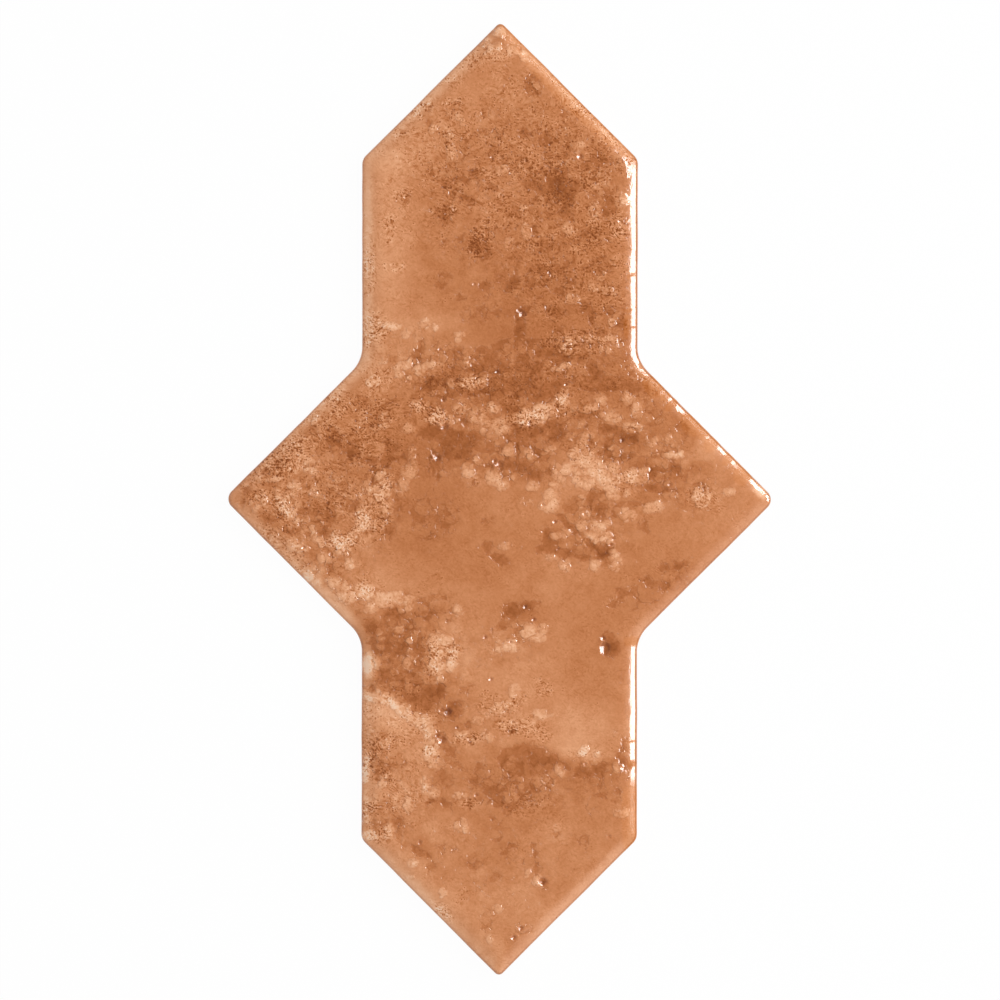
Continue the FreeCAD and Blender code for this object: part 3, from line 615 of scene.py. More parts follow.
THIN_MARKS = [Mark(*row) for row in (
    # Upper arm
    (-1.5, 112.5, 2.6, 1, 1, 25), (-3.2, 113.8, 0.9, 0.9, 0.9), (3.5, 112.5, 1.8, 1, 1, 30),
    (5.5, 111.2, 1.6, 1, 1.2, -40), (0, 116.6, 1.4, 1.2, 0.7), (-17, 92, 0.9, 0.9, 0.8),
    (-12, 91, 0.9, 0.5, 0.8), (-12.2, 86.7, 1, 1.4, 0.55), (-10, 94.5, 1, 1.4, 0.5),
    (30.8, 75, 1.3, 1, 0.9), (23.8, 78.3, 1.1, 0.9, 0.9), (26.3, 79, 0.9, 0.7, 0.7),
    (19.3, 87.8, 1.1, 1, 0.8), (23.8, 72.3, 1.2, 1.5, 0.6), (16.2, 84.3, 0.9, 0.9, 0.6),
    (6, 72.5, 1.2, 1.4, 0.5), (0.5, 82, 1.6, 1.8, 0.5), (8.7, 103.2, 0.6, 0.5, 0.9),
    (16.8, 67.3, 1.3, 1.6, 0.7), (22.8, 39.7, 1.5, 1, 1.2), (16, 38.8, 2, 1.7, 0.9),
    (14.8, 37, 1.2, 1, 0.7), (26.3, 37.8, 1.1, 1.1, 0.7, 20), (27, 40.3, 2.4, 0.7, 0.5, 20),
    (28.7, 39.4, 0.9, 0.7, 0.6), (28, 43.8, 1.2, 1, 0.6), (18, 50, 1.5, 0.9, 0.55),
    (27.5, 52, 2, 1, 0.6, -25), (23.5, 52.8, 1, 0.7, 0.5), (25.3, 55.8, 0.8, 1, 0.5),
    (15, 33.3, 2.2, 1, 0.7, 25), (11.7, 33.8, 0.9, 0.7, 0.6), (6.5, 67, 0.9, 1.6, 0.5),
    (2.5, 63.5, 1, 1.4, 0.5), (-18.8, 43.8, 1.2, 0.9), (-27, 43.2, 2, 0.9), (-16.3, 43, 0.7, 0.7, 0.8),
    (-10.1, 40.7, 0.9, 0.9, 0.9), (-23.5, 41, 0.9, 0.8, 0.9), (-24, 33.3, 2, 1.3, 1.1, 20),
    (-20, 32.2, 1.5, 1.3, 1.7), (-24.8, 31.2, 0.9, 0.7), (-22.7, 31, 0.7, 0.8), (-7.9, 34, 1, 0.9, 1.3),
    (-17, 34.2, 0.9, 1, 0.6), (-28.7, 34, 0.8, 0.7, 0.8),
    # Band across the middle
    (-8.8, 28.9, 1.4, 1.1, 1.6), (-5.5, 28.8, 2.4, 1.4, 0.8), (-3.4, 30, 1, 0.8, 0.7),
    (-16.5, 26.4, 1, 0.6, 0.7), (6.4, 20.5, 1.8, 1.8, 1.9), (9, 21.7, 3, 1.6, 1.9, 25),
    (12, 23, 1.6, 1.4, 1.8), (10.8, 20.8, 1.2, 1.2, 1.8), (6, 19, 1.2, 0.9, 1.6), (-15, 21, 1.6, 1.6, 1.5),
    (-17, 20, 1.6, 0.9, 1.5), (-12.5, 20.2, 1.2, 0.9, 1.4), (-14.7, 18.6, 0.7, 1, 1.3),
    (-10.4, 22.7, 1.5, 1.6, 1.7), (-6.7, 20.8, 1.5, 1.6, 1.7), (-3.8, 21.2, 1.4, 1.5, 1.7),
    (-5.2, 20.2, 2.4, 1.1, 1.3), (-1.8, 22.8, 0.8, 1.4, 0.9, 20), (-20.5, 23.4, 1.6, 1.2, 0.9),
    (-3, 18, 1.8, 1.4, 0.8), (1.2, 17, 1.6, 1.1), (-0.5, 19.5, 1.4, 0.8, 0.55), (1.8, 12.5, 1.3, 1.4),
    (8, 11.4, 1.2, 1, 0.6), (-23, 17.4, 1.6, 1.2, 0.8), (-22, 13, 0.7, 0.7, 0.8), (-21.5, 10, 1, 1.1, 0.9),
    (-22, 6.8, 2, 1.4, 0.7), (-8.5, 8.4, 1, 0.8, 0.8), (-6, 9.8, 1.6, 0.7, 0.9, -15),
    (-1.5, 5.5, 2, 1.9, 1.9), (1, 3.5, 1.3, 1.3, 1.2), (2.3, 5.4, 1.1, 0.7), (-7.5, 6.5, 1.6, 0.9, 0.7),
    (-24, 3.5, 1.2, 1.5, 0.9), (-25, 1.7, 1, 0.9, 0.9), (-28.5, 3.5, 1.4, 1.9, 1.6, -20),
    (-28, -1.5, 1.5, 2, 1.3), (8, 3, 1.4, 1, 0.9), (10.5, -1.5, 0.8, 0.8, 1.2), (13, 0, 2, 3, 1.2),
    (13.5, 3, 1.4, 1), (6.5, -0.5, 1.6, 0.8, 0.6), (1.4, -11.5, 0.9, 0.8, 0.7),
    (15.4, 24.8, 1.5, 2.4, 1.8, -5), (25, 25, 1.5, 1.2, 0.9), (23, 22.7, 1.2, 0.9, 0.9),
    (26.3, 20.8, 1.8, 0.8, 0.9, -15), (19, 22, 0.8, 1, 0.9), (32, 25, 1.2, 1.4),
    (34, 22.5, 1.3, 2.1, 1.6, 25), (33, 18, 2.5, 1.2, 0.9, -10), (29, 20.5, 1, 0.8, 0.9),
    (20.7, 18.3, 1.3, 1.3, 1.2), (18.3, 16, 1.6, 0.9, 1.5, 10), (21.4, 16, 1.6, 0.9, 0.9),
    (20.5, 13.7, 1, 1, 0.9), (18.3, 11.5, 1.4, 1.3, 1.8), (13, 12, 1, 1, 1.1), (21.6, 9.7, 2.2, 1.8, 1.7),
    (17.4, 8.2, 2, 2, 1.3), (24, 7.2, 3, 2.8, 1.7), (26, 4, 3, 2.4, 1.4, -20),
    (27.6, 1.8, 2, 1.6, 1.2, -10), (20, 5.6, 2, 2), (15, 6.6, 1.6, 2, 0.8), (28.6, 6.4, 1.6, 2.2),
    (22.5, 4.4, 2.4, 1.6, 1.2), (33.5, 5.4, 2.3, 2.3, 1.8), (32, 1.8, 1, 1, 1.3), (36.2, 6, 1.3, 2, 0.8),
    (43.5, 11.3, 1.9, 1.3, 1.7), (42.4, 14.4, 1.2, 1.8, 0.9, 20), (38, 14.6, 1, 1.2, 0.7),
    (50, 0.6, 2.1, 2.1, 1.5), (57.6, 1.7, 1.4, 1.1, 1.1), (31.8, -4, 2.3, 1.4, 1.5),
    (38, -2, 2.6, 1.7, 0.8), (21, -4.2, 1, 1, 1.4), (25, -6.5, 2.7, 1.4, 1.8), (20.6, -6.6, 1, 1.2, 1.2),
    (23, -9.5, 1.4, 1.2, 1.7), (26.2, -9.2, 2.6, 1.6), (28.6, -14, 1.1, 1.2, 1.4), (13.6, -9, 1.1, 1, 1.2),
    (16.6, -8.4, 1.1, 1, 0.9), (13.6, -14.6, 1.4, 1, 1.1), (24, -16.3, 1, 1.2, 1.2),
    (29, -16, 1.1, 1.2, 1.3), (16, -16.5, 1.1, 1.3, 1.3), (20, -0.6, 1.2, 1.4, 0.8),
    # Left wing
    (-60.5, 5.3, 1.4, 0.8, 1.5), (-55.8, 4.9, 1.7, 0.6, 1.4, 10), (-54, -0.4, 1.3, 2.6, 1.8, 38),
    (-52.6, -2.6, 2, 1.6, 1.7, -20), (-52.2, 0.8, 1.4, 1.2, 1.4), (-46.5, 1.5, 1, 1.1, 1.6),
    (-51, 3.4, 1.4, 1), (-50.5, -5.6, 0.7, 1, 1.4), (-45.3, -4.9, 0.8, 0.8),
    (-33.2, -6, 2.2, 1.7, 1.7, 20), (-35.6, -8.2, 1.8, 1.1, 1.4, 40), (-34.6, -3, 1, 1.6, 1.1),
    (-32.2, 2.4, 2, 1.6, 1.4, -30), (-29.4, 4.6, 2.1, 2.3, 1.5), (-29.4, 1, 2, 1.6, 1.1),
    (-40, -10.4, 3.2, 1.6, 1.9), (-39.2, -12.4, 1.6, 1.3, 1.8), (-45, -10.3, 1.2, 0.9, 1.3),
    (-51, -11.6, 2.4, 1.5, 1.6, -20), (-48.4, -12.6, 1.2, 1, 1.4), (-43.2, -14.8, 2, 1.2, 1.3, -20),
    (-46, 20, 1.4, 0.6, 1.2, 40), (-31.4, 29.2, 1.6, 1.4, 0.9), (-47, 8.4, 1.6, 1.6, 0.7),
    (-37.6, -16.4, 0.8, 1.8, 1.5, 10), (-61.5, -2, 1, 1.4, 0.8, 30), (-58.6, 0, 0.8, 1.6, 0.7),
    (-47, -20, 2, 1.4, 0.9, -45), (-29, 19.6, 1.6, 1.6, 0.5),
    # Lower arm, upper part
    (-32, -27, 1.4, 1.3, 1.4), (-34, -23, 3, 1.9, 1.4, -20), (-29, -26, 3, 1.2, 1.5, -8),
    (-23.8, -26.3, 2, 1.8, 1.5), (-26.6, -24.6, 5, 1.4, 1.2), (-38, -24, 2, 2, 1.2),
    (-40.4, -21.4, 2.6, 1.6, 1.1, -30), (-32.5, -41.5, 2, 2.9, 1.8), (-29.7, -36, 0.9, 1.6, 0.8),
    (-22.5, -41, 1.2, 1.8, 1.5), (-25.5, -33, 1, 0.9, 0.9), (-22.7, -36.5, 0.9, 1.2, 0.8),
    (-16, -36, 1.9, 3, 1.7), (-15.6, -42, 2.2, 2.8, 1.7), (-14.8, -45.2, 1.2, 1.2, 1.5),
    (-13, -38.4, 2.8, 4, 0.9), (-10.2, -27.5, 0.9, 1.4, 1.6, 10), (-33.4, -47.6, 2, 1.2, 1.4, -20),
    (-25.9, -48.6, 1.1, 0.9, 1.4), (7.6, -32.6, 2, 1.6, 1.5), (8.4, -34.2, 2.4, 1.3, 1.1),
    (10.7, -32.2, 0.9, 0.9, 1.1), (2.9, -36.8, 1.1, 1.5, 1.5), (0.6, -37, 1.6, 1.4, 0.9),
    (4, -47.6, 2, 1.5),
    # Pale glaze below the left shore
    (-30, -49.5, 4.6, 1.7, 1.1, -12), (-25, -51.6, 3.4, 1.6, 1.2, -38), (-20.6, -54.9, 3.4, 1.6, 1.2, -28),
    (-17, -57.6, 2, 2.2, 1.3), (-17, -64, 1.7, 2.8, 1.3, 10), (-16.2, -60.5, 1.2, 1.6, 1.2),
    (-18.7, -71, 0.9, 1.6, 1.2), (-9.3, -58.3, 0.8, 0.6, 1.2), (-5, -55.5, 1, 0.7, 1.2),
    (-3, -59.5, 1.3, 1.2, 0.9), (-33.4, -67.4, 1, 3, 1.2),
    # Lower arm, the rest
    (29.4, -67, 1, 0.9, 1.7), (15, -67.4, 1, 1.4, 0.9), (13, -70.5, 1.6, 1, 0.7),
    (8, -72.7, 0.9, 0.7, 0.8), (21.2, -62.4, 2, 0.9, 1.3, 45), (24.5, -63.3, 0.9, 0.8, 1.3),
    (0, -52.5, 1.6, 1.6, 0.8), (10.5, -53.5, 2, 1, 0.8), (31.7, -77.7, 0.9, 1.3, 1.3, -20),
    (29.5, -78.3, 1, 0.7, 0.9), (0.2, -71.5, 0.8, 0.5, 1, 30), (-9.5, -74, 1.6, 1, 0.9),
    (-16.3, -73.6, 1, 0.7, 1.1), (-29, -69.2, 0.7, 0.6, 1.4), (-29.5, -71, 0.8, 0.6, 1.2),
    (-9.5, -81, 1.4, 2, 0.55), (-32.5, -84, 1.3, 0.8, 1.1), (-27.5, -83, 0.9, 1.4, 0.8),
    (-33.2, -79.8, 0.8, 0.8, 1.2), (-22.5, -77, 1.2, 2, 0.6), (-21.3, -91, 1, 0.8, 1.2),
    (-22.4, -94.3, 0.8, 0.7, 0.7), (-14, -98.5, 0.7, 0.9, 0.7), (7.4, -92.6, 0.4, 1.2, 1.1, -30),
    (9.7, -95.2, 0.9, 0.9, 1.7), (-0.7, -102, 1.2, 1.3, 0.55), (-2.5, -110, 0.7, 1, 0.55),
)]

BLOOM_MARKS = [Mark(*row) for row in (
    (-6, 26, 20, 8, 0.9), (12, 20, 14, 6, 0.9), (24, 9, 12, 8, 1.1), (40, 8, 18, 10, 0.8, -35),
    (24, -9, 9, 8, 0.9), (-47, -8, 16, 9, 1, -40), (-31, -2, 8, 12), (2, -36, 9, 6, 0.7),
    (-20, -38, 14, 14, 0.9), (30, 78, 6, 10, 0.5), (-26, -72, 12, 12, 0.7), (24, -68, 10, 4, 0.6),
    (44, -19, 7, 4, 0.5, 20), (-4, -74, 10, 5, 0.6), (0, 10, 24, 7, 0.8), (-24, 37, 10, 8, 0.7),
    (22, 36, 12, 8, 0.6), (30, 20, 12, 6, 0.9, -40), (-10, 33, 20, 6, 0.8), (-45, 8, 18, 12, 0.5),
    (0, 75, 26, 34, 0.4), (0, -90, 24, 14, 0.4), (10, -70, 24, 8, 0.6), (-8, -56, 16, 8, 0.5),
)]

SPECKLE_MARKS = [Mark(*row) for row in (
    # Broad places
    (8, 84, 26, 22, 0.45), (-16, 84, 14, 20, 0.35), (18, 60, 18, 18, 0.4), (-46, 10, 20, 20, 0.45),
    (-26, -64, 12, 20, 0.3), (0, 27, 40, 10, 0.25),
    # Upper arm
    (-19.5, 97, 3.4, 3), (-25, 92, 2, 1.6, 0.8), (-13, 89, 2.4, 5, 0.8), (-12, 98, 3.4, 3, 0.7),
    (-12, 104, 3.4, 2, 0.5, 20), (-5, 80, 4, 4, 0.8, -30), (-3, 75, 3.6, 3.4, 0.8),
    (-5, 64, 3.4, 4.4, 0.9), (-23.5, 76, 3, 2, 0.8), (-20.5, 72, 1.8, 1.6, 0.7),
    (-14, 72, 4.4, 2, 0.6, 10), (-28, 67, 2.2, 5, 0.6, -15), (-33, 58, 2.4, 9, 0.5),
    (-27, 58, 4, 1.4, 0.5), (0, 107, 3, 2, 0.6, 40), (-4, 110, 8, 4, 0.5), (11, 69, 7, 6, 0.55),
    (23.5, 69, 2.4, 7, 0.8), (29.5, 69, 3, 6, 0.8), (21, 63, 4.4, 2.6, 0.7, 25), (22, 93, 12, 5, 0.5, -45),
    (-32, 43, 4, 4.4, 0.9), (-24, 50, 30, 2, 0.1), (20, 39, 10, 3.6, 0.8), (26, 50, 7, 7, 0.45),
    # Left wing
    (-53, 10, 9, 5, 1.2, 45), (-60, 3, 5, 5, 0.9), (-42, 22, 8, 6, 0.85, 45), (-36, 18, 14, 11, 0.6, 10),
    (-30, 28, 6, 8, 0.45), (-28.6, 4, 2.6, 3.4, 1.1, -20), (-32, -3, 4.4, 7, 0.9),
    (-38, -10, 7, 3, 0.8, 20), (-54, -3, 2.6, 6, 0.8, 30), (-54, -12, 9, 3, 0.6, -45),
    (-36, -22, 8, 5, 0.3, -30),
    # Middle
    (-20, 23, 3, 1.8, 1.2, -20), (-15.6, 21, 2.8, 2.6, 1.3, -40), (-8, 29, 4, 2, 0.9),
    (-23, 29.5, 2, 1.6, 0.6), (8, 21, 5.4, 2.8, 1.1, 20), (15.6, 25, 2.2, 4, 0.9, -15),
    (-2, 19, 3, 2.6, 0.4), (20, 12, 4.4, 3, 0.45), (30, 5, 6, 3, 0.45, -20), (-6, 4.4, 1.4, 1.2, 0.6),
    (51, 0, 5, 3, 0.35, -20),
    # Lower arm
    (3.5, -57, 4.4, 1.8, 1.2, -5), (8.5, -57.5, 4.4, 2.8, 0.8, -20), (-7, -59.6, 4, 1.5, 1, 5),
    (4, -51, 4, 2, 0.7, 35), (-2.5, -51, 3, 3.4, 0.6, -30), (-17, -39.5, 2.6, 5.4, 0.75),
    (-11.6, -38.4, 2.6, 2.4, 0.6), (-17.6, -62.6, 1.8, 1.5, 1.3, 35), (-32.6, -55, 2.6, 5, 0.5),
    (-29, -61, 5, 3, 0.7), (-33, -66, 2, 4, 0.8), (-27, -70, 2, 4, 0.6, 30), (-32.6, -78, 2.6, 4, 0.9),
    (-30, -84, 3.4, 1.8, 0.8, -10), (11, -47, 2.6, 2.4, 0.5, -30), (-9, -99, 2.6, 1.6, 0.5, 45),
    (-14, -103, 3, 1.6, 0.5, -45), (-8, -76, 3.4, 1.4, 0.6), (8, -78, 8, 4, 0.25, -20),
    (22, -64, 5, 2, 0.35),
)]

MATT_MARKS = [Mark(*row) for row in (
    # Upper arm's right edge and the tip above it
    (33, 56.1, 1.6, 0.5, 1, 20), (32, 47.3, 1.8, 0.5), (32.3, 45.5, 1.1, 0.6, 0.8), (33.4, 43, 0.9, 0.5),
    (31.7, 43, 1, 3.5), (32.6, 84.4, 0.5, 1.3, 1, -30), (17, 101.5, 26, 3, 1.5, -45),
    # Upper right edge of the wing, between the places that gleam
    (38.4, 28.3, 3.2, 2.6, 1.4, -45), (43, 23.7, 1, 2.6, 1.2, -45), (48, 18.7, 3.6, 2.6, 1.4, -45),
    (52.9, 13.8, 1.8, 2.6, 1.3, -45), (57.3, 10.4, 1.3, 2.6, 1.2, -45), (60.7, 6, 2.4, 2.6, 1.4, -45),
    (41.6, 26, 1.3, 2.6, 0.85, -45), (51.2, 16.6, 1.5, 2.6, 0.95, -45), (59.3, 8.6, 1, 2.6, 0.72, -45),
    (35.8, 31.4, 1.2, 1.4, 0.6, -45),
    # Lower arm's right edge
    (33, -35.4, 2, 1.5, 1.2), (33, -60.4, 1.6, 0.5), (33.2, -65.9, 1.4, 1, 1.2), (33, -80, 2.6, 10.4, 1.4),
)]

MARKS = {
    Layer.TONE: TONE_MARKS,
    Layer.POOL: POOL_MARKS,
    Layer.THIN: THIN_MARKS,
    Layer.BLOOM: BLOOM_MARKS,
    Layer.SPECKLE: SPECKLE_MARKS,
    Layer.MATT: MATT_MARKS,
}


@dataclass(frozen=True)
class Pit:
    """A popped bubble in the glaze: a round hollow with a raised lip, in millimetres.

    A depth below zero makes a soft bulge instead.
    """

    x: float
    y: float
    radius: float
    depth: float
    lip: float = 0.09
    stretch: float = 1.0
    # Where the lip is, how wide it is and how far the pit is felt, as shares of the radius
    lip_at: ClassVar[float] = 1.15
    lip_width: ClassVar[float] = 0.28
    felt_to: ClassVar[float] = 2.0

    @property
    def reach(self) -> float:
        """How far from its middle the pit is felt."""
        return self.radius * self.felt_to

    def height(self, x: np.ndarray, y: np.ndarray) -> np.ndarray:
        """The height that the pit adds, below zero in the hollow.

        Args:
            x: Places across the tile.
            y: Places along the tile.

        Returns:
            One height for each place.
        """
        share = np.hypot(x - self.x, (y - self.y) / self.stretch) / self.radius
        hollow = np.where(share < 1, (1 - share**2) ** 2, 0.0)
        lip = np.exp(-(((share - self.lip_at) / self.lip_width) ** 2))
        return self.lip * lip - self.depth * hollow


# A row is x, y, radius, depth, and where they aren't the usual ones, the lip and the stretch
PITS = [Pit(*row) for row in (
    # Upper arm
    (1.2, 115.6, 0.77, 0.27), (5, 112.8, 0.89, 0.34), (6.2, 110.8, 0.77, 0.27), (-2, 85.2, 0.54, 0.2),
    (20, 85.5, 0.95, 0.41), (23.6, 70.8, 0.6, 0.2), (29.9, 69.4, 0.6, 0.2), (30.4, 84.8, 2.2, -0.25, 0),
    (12.3, 56.4, 0.6, 0.27), (5.7, 46.3, 1.1, 0.51), (4.7, 47.1, 0.7, 0.33), (-15, 37.4, 0.6, 0.27),
    (-6.4, 53.6, 0.54, 0.2), (6.8, 39.2, 0.6, 0.14),
    # Middle
    (-7.6, 34.2, 0.66, 0.27), (-14, 24.7, 0.77, 0.36), (-13.7, 18.1, 1.25, 0.58),
    (-14.8, 19.3, 0.75, 0.35), (-15.4, 10.4, 1.25, 0.58), (-16.4, 11.4, 0.75, 0.35),
    (-0.1, 8.7, 1.2, 0.56), (-1.2, 9.5, 0.75, 0.35), (16.6, 28.6, 0.72, 0.34), (-0.6, 31.8, 0.66, 0.27),
    (30.6, 14.7, 0.72, 0.34), (42.5, 3.7, 0.72, 0.3), (13.8, -5.6, 0.72, 0.34), (10.8, -1.4, 0.66, 0.27),
    (27.8, -11.3, 0.77, 0.34), (21.2, -3.7, 0.66, 0.27), (-46.6, 1.4, 0.77, 0.34), (-23, 29.4, 0.6, 0.2),
    (-48.8, -12.2, 0.66, 0.34), (14.6, -12.4, 0.54, 0.2),
    # Lower arm
    (26.4, -37.2, 1.6, 0.75, 0.06, 1.5), (25.9, -34.6, 0.72, 0.34), (6.5, -26.9, 0.66, 0.3),
    (8.6, -30, 0.72, 0.34), (-3.5, -34.5, 0.72, 0.34), (2.8, -35.6, 0.6, 0.27), (-2.1, -44.9, 0.72, 0.3),
    (-18.7, -41.2, 0.54, 0.2), (-12.8, -53.1, 1.3, 0.61), (-14.3, -52.6, 0.9, 0.42),
    (-14.2, -60, 1.25, 0.58), (-15.4, -59.1, 0.8, 0.37), (-5.7, -73.8, 0.77, 0.3), (21.5, -66.1, 0.6, 0.2),
    (-19.8, -85.7, 0.77, 0.3), (10.8, -95.3, 1.3, 0.61), (5.5, -107.1, 0.95, 0.45),
    (3.7, -109.4, 0.9, 0.42), (27.4, -84.1, 0.66, 0.2), (-10.6, -57, 0.54, 0.27),
)]


@dataclass(frozen=True)
class Corner:
    """A corner of the outline: its sharp point, its radius and the turn made there, in degrees."""

    x: float
    y: float
    radius: float
    turn: float

    @property
    def convex(self) -> bool:
        """Whether the outline turns round the body here, not into a notch."""
        return self.turn > 0

    @property
    def tangent(self) -> float:
        """From the sharp point to where the arc starts."""
        return self.radius * math.tan(math.radians(abs(self.turn)) / 2)


@dataclass(frozen=True)
class Stretch:
    """A straight side of the outline between two arcs."""

    start: Vector
    end: Vector
    inward: Vector


@dataclass(frozen=True)
class Arc:
    """A rounded corner of the outline."""

    centre: Vector
    radius: float
    convex: bool
    first: Vector
    last: Vector
    sharp: Vector
    spread: Vector


@dataclass
class Outline:
    """The tile's plan at its joint faces, with the sizes of the solid."""

    length: float = 238.0
    width: float = 136.0
    tip_radius: float = 1.5
    wing_radius: float = 2.8
    shoulder_radius: float = 3.3
    notch_radius: float = 8.5
    least_arc_steps: int = 3
    stretches: list[Stretch] = field(default_factory=list)
    arcs: list[Arc] = field(default_factory=list)

    @property
    def sharp_tip(self) -> float:
        """How far from the middle the tips' sharp corners are."""
        return self.length / 2 + self.tip_radius * SQUARE_CORNER_LOSS

    @property
    def sharp_wing(self) -> float:
        """How far from the middle the wings' sharp corners are."""
        return self.width / 2 + self.wing_radius * SQUARE_CORNER_LOSS

    def __post_init__(self) -> None:
        """Works out the twelve straight sides and the twelve arcs, anticlockwise from the right wing."""
        bar_x = self.sharp_wing / 2
        wing = Corner(self.sharp_wing, 0, self.wing_radius, 90)
        notch = Corner(bar_x, self.sharp_wing - bar_x, self.notch_radius, -45)
        shoulder = Corner(bar_x, self.sharp_tip - bar_x, self.shoulder_radius, 45)
        tip = Corner(0, self.sharp_tip, self.tip_radius, 90)
        upper_left = [Corner(-c.x, c.y, c.radius, c.turn) for c in (shoulder, notch)]
        upper = [wing, notch, shoulder, tip] + upper_left
        corners = upper + [Corner(-c.x, -c.y, c.radius, c.turn) for c in upper]
        for here, after in zip(corners, corners[1:] + corners[:1]):
            along = (Vector((after.x, after.y)) - Vector((here.x, here.y))).normalized()
            start = Vector((here.x, here.y)) + along * here.tangent
            end = Vector((after.x, after.y)) - along * after.tangent
            self.stretches.append(Stretch(start, end, Vector((-along.y, along.x))))
        for corner, before, after in zip(corners, self.stretches[-1:] + self.stretches[:-1], self.stretches):
            side = 1 if corner.convex else -1
            centre = before.end + before.inward * corner.radius * side
            spread = (before.inward + after.inward) / (1 + before.inward.dot(after.inward))
            self.arcs.append(Arc(centre, corner.radius, corner.convex, -before.inward * side,
                                 -after.inward * side, Vector((corner.x, corner.y)), spread))

    def loop(self, inset: float, spacing: float) -> list[Vector]:
        """The outline moved inwards, as a closed row of points.

        Args:
            inset: How far in from the joint face.
            spacing: The longest step between points.

        Returns:
            The points, anticlockwise.
        """
        points = []
        for arc, stretch, following in zip(self.arcs, self.stretches, self.arcs[1:] + self.arcs[:1]):
            points += self._arc_points(arc, inset, spacing)
            start = self._moved(stretch.start, stretch, arc, inset)
            end = self._moved(stretch.end, stretch, following, inset)
            steps = max(1, math.ceil((end - start).length / spacing))
            points += [start.lerp(end, step / steps) for step in range(1, steps)]
        return points

    def _arc_points(self, arc: Arc, inset: float, spacing: float) -> list[Vector]:
        """Points round one corner.

        Args:
            arc: The corner.
            inset: How far in from the joint face.
            spacing: The longest step between points.

        Returns:
            The arc's points, or the mitre's one point where the inset is past the radius.
        """
        radius = arc.radius - inset if arc.convex else arc.radius + inset
        if radius <= 0:
            return [arc.sharp + arc.spread * inset]
        sweep = arc.first.angle(arc.last)
        steps = max(self.least_arc_steps, math.ceil(radius * sweep / spacing))
        shares = [step / steps for step in range(steps + 1)]
        return [arc.centre + arc.first.slerp(arc.last, share) * radius for share in shares]

    def _moved(self, end: Vector, stretch: Stretch, arc: Arc, inset: float) -> Vector:
        """Moves one end of a side inwards.

        Args:
            end: The end.
            stretch: The side.
            arc: The corner at this end.
            inset: How far in from the joint face.

        Returns:
            Its new place, on the mitre where the inset is past the corner's radius.
        """
        if arc.convex and arc.radius <= inset:
            return arc.sharp + arc.spread * inset
        return end + stretch.inward * inset

    def inset_of(self, x: np.ndarray, y: np.ndarray) -> np.ndarray:
        """Distance in from the joint face.

        Args:
            x: Places across the tile.
            y: Places along the tile.

        Returns:
            One distance for each place, which is right for places inside the outline.
        """
        nearest = np.full(x.shape, np.inf)
        for stretch in self.stretches:
            run = stretch.end - stretch.start
            dx, dy = x - stretch.start.x, y - stretch.start.y
            share = np.clip((dx * run.x + dy * run.y) / run.length_squared, 0, 1)
            nearest = np.minimum(nearest, np.hypot(dx - share * run.x, dy - share * run.y))
        for arc in self.arcs:
            middle = (arc.first + arc.last).normalized()
            dx, dy = x - arc.centre.x, y - arc.centre.y
            out = np.hypot(dx, dy)
            facing = (dx * middle.x + dy * middle.y) > out * math.cos(arc.first.angle(arc.last) / 2)
            nearest = np.where(facing, np.minimum(nearest, np.abs(out - arc.radius)), nearest)
        return nearest

    def holds(self, x: np.ndarray, y: np.ndarray) -> np.ndarray:
        """Tells which places are inside the sharp outline: in the bar and its tips, or in the wings.

        Args:
            x: Places across the tile.
            y: Places along the tile.

        Returns:
            True for each place inside.
        """
        away = np.abs(x) + np.abs(y)
        in_bar = (np.abs(x) < self.sharp_wing / 2) & (away < self.sharp_tip)
        return in_bar | (away < self.sharp_wing)


@dataclass(frozen=True)
class EdgeSection:
    """The edge's section: a taper at the back, the joint face, and two arcs up to the field."""

    thickness: float = 9.0
    taper_height: float = 2.0
    arris_radius: float = 1.5
    crown_radius: float = 6.5
    arris_sweep: float = 45.0

    @property
    def arris_inset(self) -> float:
        """Where the small arc ends, in from the joint face."""
        return self.arris_radius * (1 - math.cos(math.radians(self.arris_sweep)))

    @property
    def crown_inset(self) -> float:
        """Where the cushion meets the field, in from the joint face."""
        return self.arris_inset + self.crown_radius * math.cos(math.radians(self.arris_sweep))

    @property
    def joint_top(self) -> float:
        """The top of the joint face."""
        sine = math.sin(math.radians(self.arris_sweep))
        return self.thickness - self.crown_radius * (1 - sine) - self.arris_radius * sine

    def arris_rows(self, count: int) -> list[tuple[float, float]]:
        """Rows over the small arc.

        Args:
            count: How many rows, past the joint face's own top row.

        Returns:
            Pairs of an inset and a height.
        """
        angles = [math.radians(self.arris_sweep) * (row + 1) / count for row in range(count)]
        radius = self.arris_radius
        return [(radius * (1 - math.cos(a)), self.joint_top + radius * math.sin(a)) for a in angles]

    def crown_height(self, inset: np.ndarray) -> np.ndarray:
        """Height of the large arc and the field, from distances in from the joint face."""
        short = np.clip(self.crown_inset - inset, 0, self.crown_radius)
        return self.thickness - self.crown_radius + np.sqrt(self.crown_radius**2 - short**2)


